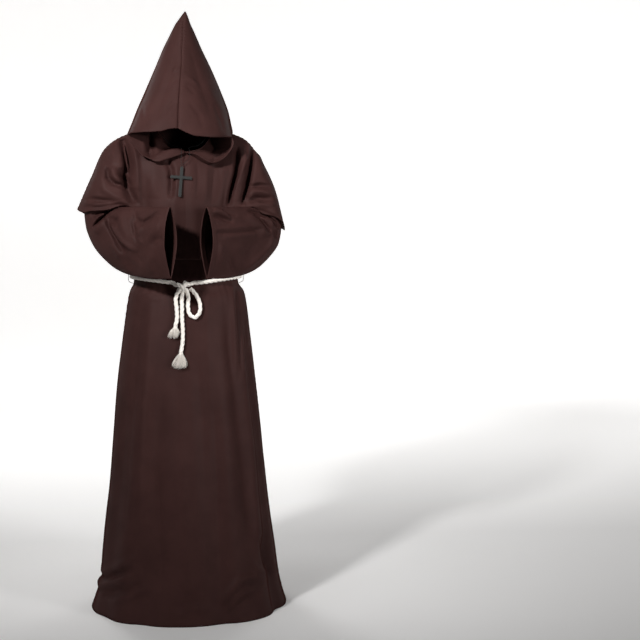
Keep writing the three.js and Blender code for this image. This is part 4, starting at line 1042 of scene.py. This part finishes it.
def polyester_satin(name, colour):
    """Filament polyester twill: near-black in the folds, a soft broad sheen where it turns to the light."""
    material, tree, shader = new_material(name)
    place = add_node(tree, "ShaderNodeTexCoord").outputs["Object"]
    # Cloudy unevenness of the dye and pressing, about 80 mm across
    cloud = add_node(tree, "ShaderNodeTexNoise", {
        "Vector": place, "Scale": 12.0, "Detail": 3.0, "Roughness": 0.55,
    })
    mottled(tree, shader, cloud, colour, 0.88, 1.12)
    # Fine crumple, about 18 mm across, then the twill line, drawn at 0.8 mm so that it shows
    crumple = add_node(tree, "ShaderNodeTexNoise", {
        "Vector": place, "Scale": 55.0, "Detail": 2.5, "Roughness": 0.5,
    })
    twill = add_node(tree, "ShaderNodeTexWave", {
        "Vector": place, "Scale": 390.0, "Distortion": 0.6, "Detail": 1.0,
    }, wave_type="BANDS", bands_direction="DIAGONAL")
    soft = add_node(tree, "ShaderNodeBump", {
        "Height": crumple.outputs["Fac"], "Strength": 0.12, "Distance": 0.003,
    })
    fine = add_node(tree, "ShaderNodeBump", {
        "Height": twill.outputs["Fac"], "Strength": 0.10, "Distance": 0.0003,
        "Normal": soft.outputs["Normal"],
    })
    tree.links.new(fine.outputs["Normal"], shader.inputs["Normal"])
    shader.inputs["Roughness"].default_value = 0.55
    shader.inputs["IOR"].default_value = 1.5
    # Satin floats give a faint gloss where the cloth faces the eye and none along its outline
    turned = add_node(tree, "ShaderNodeLayerWeight", {"Blend": 0.5})
    gloss = add_node(tree, "ShaderNodeMapRange", {
        "Value": turned.outputs["Facing"], "From Min": 0.2, "From Max": 0.8, "To Min": 0.05, "To Max": 0.0,
    })
    tree.links.new(gloss.outputs["Result"], shader.inputs["Specular IOR Level"])
    shader.inputs["Sheen Weight"].default_value = 0.02
    shader.inputs["Sheen Roughness"].default_value = 0.3
    shader.inputs["Sheen Tint"].default_value = linear("#8a6a62")
    return material


def cotton_rope(name, colour):
    """Bleached cotton rope: matte, off-white, greyer and warmer down between the strands."""
    material, tree, shader = new_material(name)
    place = add_node(tree, "ShaderNodeTexCoord").outputs["Object"]
    fibre = add_node(tree, "ShaderNodeTexNoise", {"Vector": place, "Scale": 700.0, "Detail": 2.0})
    mottled(tree, shader, fibre, colour, 0.86, 1.04)
    nap = add_node(tree, "ShaderNodeBump", {
        "Height": fibre.outputs["Fac"], "Strength": 0.35, "Distance": 0.0006,
    })
    tree.links.new(nap.outputs["Normal"], shader.inputs["Normal"])
    shader.inputs["Roughness"].default_value = 0.95
    shader.inputs["Specular IOR Level"].default_value = 0.15
    shader.inputs["Sheen Weight"].default_value = 0.25
    return material


def dull_metal(name, colour):
    """Cast alloy with a dark grey finish: broad dull highlights and no mirror."""
    material, tree, shader = new_material(name)
    place = add_node(tree, "ShaderNodeTexCoord").outputs["Object"]
    grain = add_node(tree, "ShaderNodeTexNoise", {"Vector": place, "Scale": 500.0, "Detail": 2.0})
    bump = add_node(tree, "ShaderNodeBump", {
        "Height": grain.outputs["Fac"], "Strength": 0.15, "Distance": 0.0002,
    })
    tree.links.new(bump.outputs["Normal"], shader.inputs["Normal"])
    shader.inputs["Base Color"].default_value = linear(colour)
    shader.inputs["Metallic"].default_value = 0.6
    shader.inputs["Roughness"].default_value = 0.5
    return material


def paper_with_painted_glow(name, colour):
    """Matte seamless paper that curves up behind and glows with painted light, an emission that rises from
    none near the costume to 0.8 far behind, in place of lamps on the backdrop.
    """
    material, tree, shader = new_material(name)
    place = add_node(tree, "ShaderNodeTexCoord").outputs["Object"]
    depth = add_node(tree, "ShaderNodeSeparateXYZ", {"Vector": place})
    # Painted light: the paper glows more the further back it lies, from none at 0.8 m to 0.8 at 4.6 m behind
    # the costume
    glow = add_node(tree, "ShaderNodeMapRange", {
        "Value": depth.outputs["Y"], "From Min": 0.8, "From Max": 4.6, "To Min": 0.0, "To Max": 0.8,
    })
    shader.inputs["Emission Color"].default_value = linear(colour)
    tree.links.new(glow.outputs["Result"], shader.inputs["Emission Strength"])
    shader.inputs["Base Color"].default_value = linear(colour)
    shader.inputs["Roughness"].default_value = 0.95
    shader.inputs["Specular IOR Level"].default_value = 0.1
    return material


def material_once(name, make, colour):
    return bpy.data.materials.get(name) or make(name, colour)


# Settings shown in the sidebar
class CostumeSettings(bpy.types.PropertyGroup):
    cloth_colour: bpy.props.StringProperty(
        name="Cloth colour", description="Dye of the cloth, sRGB hex", default="#3a2523")
    rope_colour: bpy.props.StringProperty(
        name="Rope colour", description="Cotton of the belt, sRGB hex", default="#fdf6ee")
    metal_colour: bpy.props.StringProperty(
        name="Metal colour", description="Cross and chain, sRGB hex", default="#2a2b2a")
    floor_colour: bpy.props.StringProperty(
        name="Floor colour", description="Paper floor, sRGB hex", default="#f4f3f2")
    rope_diameter: bpy.props.FloatProperty(
        name="Rope diameter", description="Thickness of the belt",
        default=ROPE * 0.001, unit="LENGTH", subtype="DISTANCE")
    strand_count: bpy.props.IntProperty(
        name="Loose yarns", description="Yarns in each frayed end", default=170)


def settings():
    return bpy.context.scene.costume


def cloth():
    return material_once("polyester_satin", polyester_satin, settings().cloth_colour)


def rope_cotton():
    return material_once("cotton_rope", cotton_rope, settings().rope_colour)


def metal():
    return material_once("dull_metal", dull_metal, settings().metal_colour)


class COSTUME_OT_robe(bpy.types.Operator):
    """Front and back of the robe, with the folds that hang from the belt"""
    bl_idname = "costume.robe"
    bl_label = "Robe"

    def execute(self, context):
        robe_panel("robe_front", ROBE_FRONT_CREASES, 11)
        robe_panel("robe_back", ROBE_BACK_CREASES, 12)
        return {"FINISHED"}


class COSTUME_OT_sleeves(bpy.types.Operator):
    """Both sleeves, bent at the elbow, with the folds that fan out from it"""
    bl_idname = "costume.sleeves"
    bl_label = "Sleeves"

    def execute(self, context):
        sleeve("sleeve_right", -1, 21)
        sleeve("sleeve_left", 1, 22)
        return {"FINISHED"}


class COSTUME_OT_cape(bpy.types.Operator):
    """Shoulder cape, front and back"""
    bl_idname = "costume.cape"
    bl_label = "Cape"

    def execute(self, context):
        cape_panel("cape_front", CAPE_FRONT_CREASES, 31)
        cape_panel("cape_back", CAPE_BACK_CREASES, 32)
        return {"FINISHED"}


class COSTUME_OT_hood(bpy.types.Operator):
    """Pointed hood, two halves joined by one seam over the crown"""
    bl_idname = "costume.hood"
    bl_label = "Hood"

    def execute(self, context):
        hood_half("hood_right", -1, 45)
        hood_half("hood_left", 1, 46)
        return {"FINISHED"}


def rope_piece(name, node, parts):
    vertices, faces = joined(parts)
    return mesh_object(name, vertices, faces, rope_cotton(), node)


def free_rope(name, node, points):
    diameter = settings().rope_diameter * 1000
    path, length = resampled(points, 1.4)
    obj = rope_piece(name, node, [rope_geometry(path, diameter)])
    route, _ = resampled(points, length / 30)
    return obj


class COSTUME_OT_belt(bpy.types.Operator):
    """Rope belt: the turn round the waist, the knot, the bow loop and the two frayed ends"""
    bl_idname = "costume.belt"
    bl_label = "Rope belt"

    def execute(self, context):
        diameter = settings().rope_diameter * 1000
        count = settings().strand_count
        path, _ = resampled(belt_points(), 1.5)
        rope_piece("rope_belt_turn", "rope_belt", [rope_geometry(path, diameter)])
        knot = []
        for k, points in enumerate(knot_paths()):
            path, _ = resampled(points, 1.2)
            knot.append(rope_geometry(path, diameter, phase=k * 1.1))
        rope_piece("rope_knot_tied", "rope_knot", knot)
        free_rope("rope_bow", "rope_bow_loop", LOOP_POINTS)
        short = rope_piece("tassel_short_frayed", "tassel_short", [strands(*SHORT_TASSEL, count, 51)])
        free_rope("rope_hanging_short", "rope_end_short", SHORT_END_POINTS)
        long = rope_piece("tassel_long_frayed", "tassel_long", [strands(*LONG_TASSEL, count, 52)])
        free_rope("rope_hanging_long", "rope_end_long", LONG_END_POINTS)
        return {"FINISHED"}


class COSTUME_OT_belt_loops(bpy.types.Operator):
    """Thread loops at the side seams that carry the belt"""
    bl_idname = "costume.belt_loops"
    bl_label = "Belt loops"

    def execute(self, context):
        # level, and how far out from the side seam
        places = ((-380, 0.6), (-386, ROPE + 2.4), (-402, ROPE + 4), (-417, ROPE + 2.8), (-424, 0.9))
        for side, name in ((-1, "right"), (1, "left")):
            points = [robe_point(side * 90, z) + np.array([side * out, 0, 0]) for z, out in places]
            path, _ = resampled([tuple(p) for p in points], 0.6)
            vertices, faces = rope_geometry(path, THREAD, sides=10)
            node = "belt_loop_" + name
            mesh_object(node + "_thread", vertices, faces, cloth(), node)
        return {"FINISHED"}


def cross_axes():
    top = np.array(CROSS_TOP)
    down = np.array(CROSS_FOOT) - top
    down /= np.linalg.norm(down)
    across = -np.cross(np.array([0.0, -1.0, 0.0]), down)
    across /= np.linalg.norm(across)
    return top, across, -down, np.cross(across, -down)


class COSTUME_OT_cross(bpy.types.Operator):
    """Plain cross with softened edges and its ring"""
    bl_idname = "costume.cross"
    bl_label = "Cross"

    def execute(self, context):
        top, across, up, out = cross_axes()
        h = CROSS_BAR / 2
        w = CROSS_WIDE / 2
        outline = [
            (-h, -CROSS_TALL), (h, -CROSS_TALL), (h, -CROSS_ARM - h), (w, -CROSS_ARM - h),
            (w, -CROSS_ARM + h), (h, -CROSS_ARM + h), (h, -1), (-h, -1),
            (-h, -CROSS_ARM + h), (-w, -CROSS_ARM + h), (-w, -CROSS_ARM - h), (-h, -CROSS_ARM - h),
        ]
        vertices = []
        for depth in (-CROSS_THICK / 2, CROSS_THICK / 2):
            vertices += [top + across * a + up * b + out * depth for a, b in outline]
        n = len(outline)
        faces = [tuple(range(n, 2 * n)), tuple(reversed(range(n)))]
        faces += [(i, (i + 1) % n, n + (i + 1) % n, n + i) for i in range(n)]
        ring = link_geometry(top + up * 2.6, up, across, *CROSS_RING)
        vertices, faces = joined([(vertices, faces), ring])
        obj = mesh_object(
            "cross_cast", vertices, faces, metal(), "pendant_cross", smooth_shading=False)
        bevel = obj.modifiers.new("edge", "BEVEL")
        bevel.width = 0.0009
        bevel.segments = 2
        bevel.limit_method = "ANGLE"
        bevel.angle_limit = math.radians(50)
        return {"FINISHED"}


class COSTUME_OT_chain(bpy.types.Operator):
    """Fine chain of oval links round the neck"""
    bl_idname = "costume.chain"
    bl_label = "Chain"

    def execute(self, context):
        points = list(CHAIN_LEFT)
        angle = CHAIN_FROM
        while angle >= CHAIN_TO:
            p = neck_point(angle)
            points.append((p[0] * 0.92, p[1] * 0.92, p[2] + 5 + 6 * max(0.0, math.cos(math.radians(angle)))))
            angle -= CHAIN_STEP
        points += CHAIN_RIGHT
        path, _ = resampled(points, LINK_PITCH)
        tangents, u, w = frames_along(path)
        # Each link stands across the one before it
        normals = [u[i] if i % 2 else w[i] for i in range(len(path))]
        parts = [link_geometry(p, t, n, *LINK) for p, t, n in zip(path, tangents, normals)]
        vertices, faces = joined(parts)
        mesh_object("chain_links", vertices, faces, metal(), "pendant_chain")
        return {"FINISHED"}


class COSTUME_OT_stage(bpy.types.Operator):
    """Camera at the photo's angle, pale floor and soft studio lights"""
    bl_idname = "costume.stage"
    bl_label = "Stage"

    def execute(self, context):
        scene = context.scene
        camera = bpy.data.cameras.new("camera")
        camera.lens = CAMERA_LENS
        camera.sensor_width = 36.0
        camera.clip_end = 50.0
        view = bpy.data.objects.new("camera", camera)
        view.location = CAMERA_PLACE
        view.rotation_euler = (math.radians(90 - CAMERA_DOWN), 0.0, math.radians(CAMERA_TURN))
        scene.collection.objects.link(view)
        scene.camera = view
        # The paper lies flat and then bends up behind the costume
        z = FLOOR - 0.4
        profile = [(PAPER_FRONT, z)]
        for k in range(13):
            turn = k / 12 * math.pi / 2
            rise = PAPER_RADIUS * (1 - math.cos(turn))
            profile.append((PAPER_BEND + PAPER_RADIUS * math.sin(turn), z + rise))
        profile.append((PAPER_BEND + PAPER_RADIUS, z + PAPER_TALL))
        vertices = [(x, y, up) for y, up in profile for x in (-PAPER_WIDE, PAPER_WIDE)]
        faces = [(2 * k, 2 * k + 1, 2 * k + 3, 2 * k + 2) for k in range(len(profile) - 1)]
        paper = paper_with_painted_glow("paper_with_painted_glow", settings().floor_colour)
        mesh_object("floor", vertices, faces, paper, None)
        for name, place, target, size, spread, power in LIGHTS:
            lamp = bpy.data.lights.new(name, "AREA")
            lamp.shape = "SQUARE"
            lamp.size = size
            lamp.spread = math.radians(spread)
            lamp.energy = power
            obj = bpy.data.objects.new(name, lamp)
            obj.location = place
            obj.rotation_euler = (Vector(target) - Vector(place)).to_track_quat("-Z", "Y").to_euler()
            scene.collection.objects.link(obj)
        world = bpy.data.worlds.new("studio")
        world.use_nodes = True
        background = next(n for n in world.node_tree.nodes if n.type == "BACKGROUND")
        background.inputs["Color"].default_value = (1.0, 1.0, 1.0, 1.0)
        background.inputs["Strength"].default_value = WORLD_LIGHT
        scene.world = world
        scene.view_settings.view_transform = "Standard"
        return {"FINISHED"}


class COSTUME_PT_panel(bpy.types.Panel):
    """Lists the costume's pieces and settings"""
    bl_idname = "COSTUME_PT_panel"
    bl_label = "Monk costume"
    bl_space_type = "VIEW_3D"
    bl_region_type = "UI"
    bl_category = "Costume"

    def draw(self, context):
        for name in CostumeSettings.__annotations__:
            self.layout.prop(context.scene.costume, name)
        for operator in OPERATORS:
            self.layout.operator(operator.bl_idname)


OPERATORS = (
    COSTUME_OT_robe, COSTUME_OT_sleeves, COSTUME_OT_cape, COSTUME_OT_hood, COSTUME_OT_belt,
    COSTUME_OT_belt_loops, COSTUME_OT_cross, COSTUME_OT_chain, COSTUME_OT_stage,
)
CLASSES = (CostumeSettings,) + OPERATORS + (COSTUME_PT_panel,)


def register():
    for cls in CLASSES:
        bpy.utils.register_class(cls)
    bpy.types.Scene.costume = bpy.props.PointerProperty(type=CostumeSettings)


def unregister():
    del bpy.types.Scene.costume
    for cls in reversed(CLASSES):
        bpy.utils.unregister_class(cls)


def main():
    register()
    bpy.ops.costume.stage()
    bpy.ops.costume.belt()
    bpy.ops.costume.robe()
    bpy.ops.costume.sleeves()
    bpy.ops.costume.cape()
    bpy.ops.costume.hood()
    bpy.ops.costume.belt_loops()
    bpy.ops.costume.cross()
    bpy.ops.costume.chain()


if __name__ == "__main__":
    main()
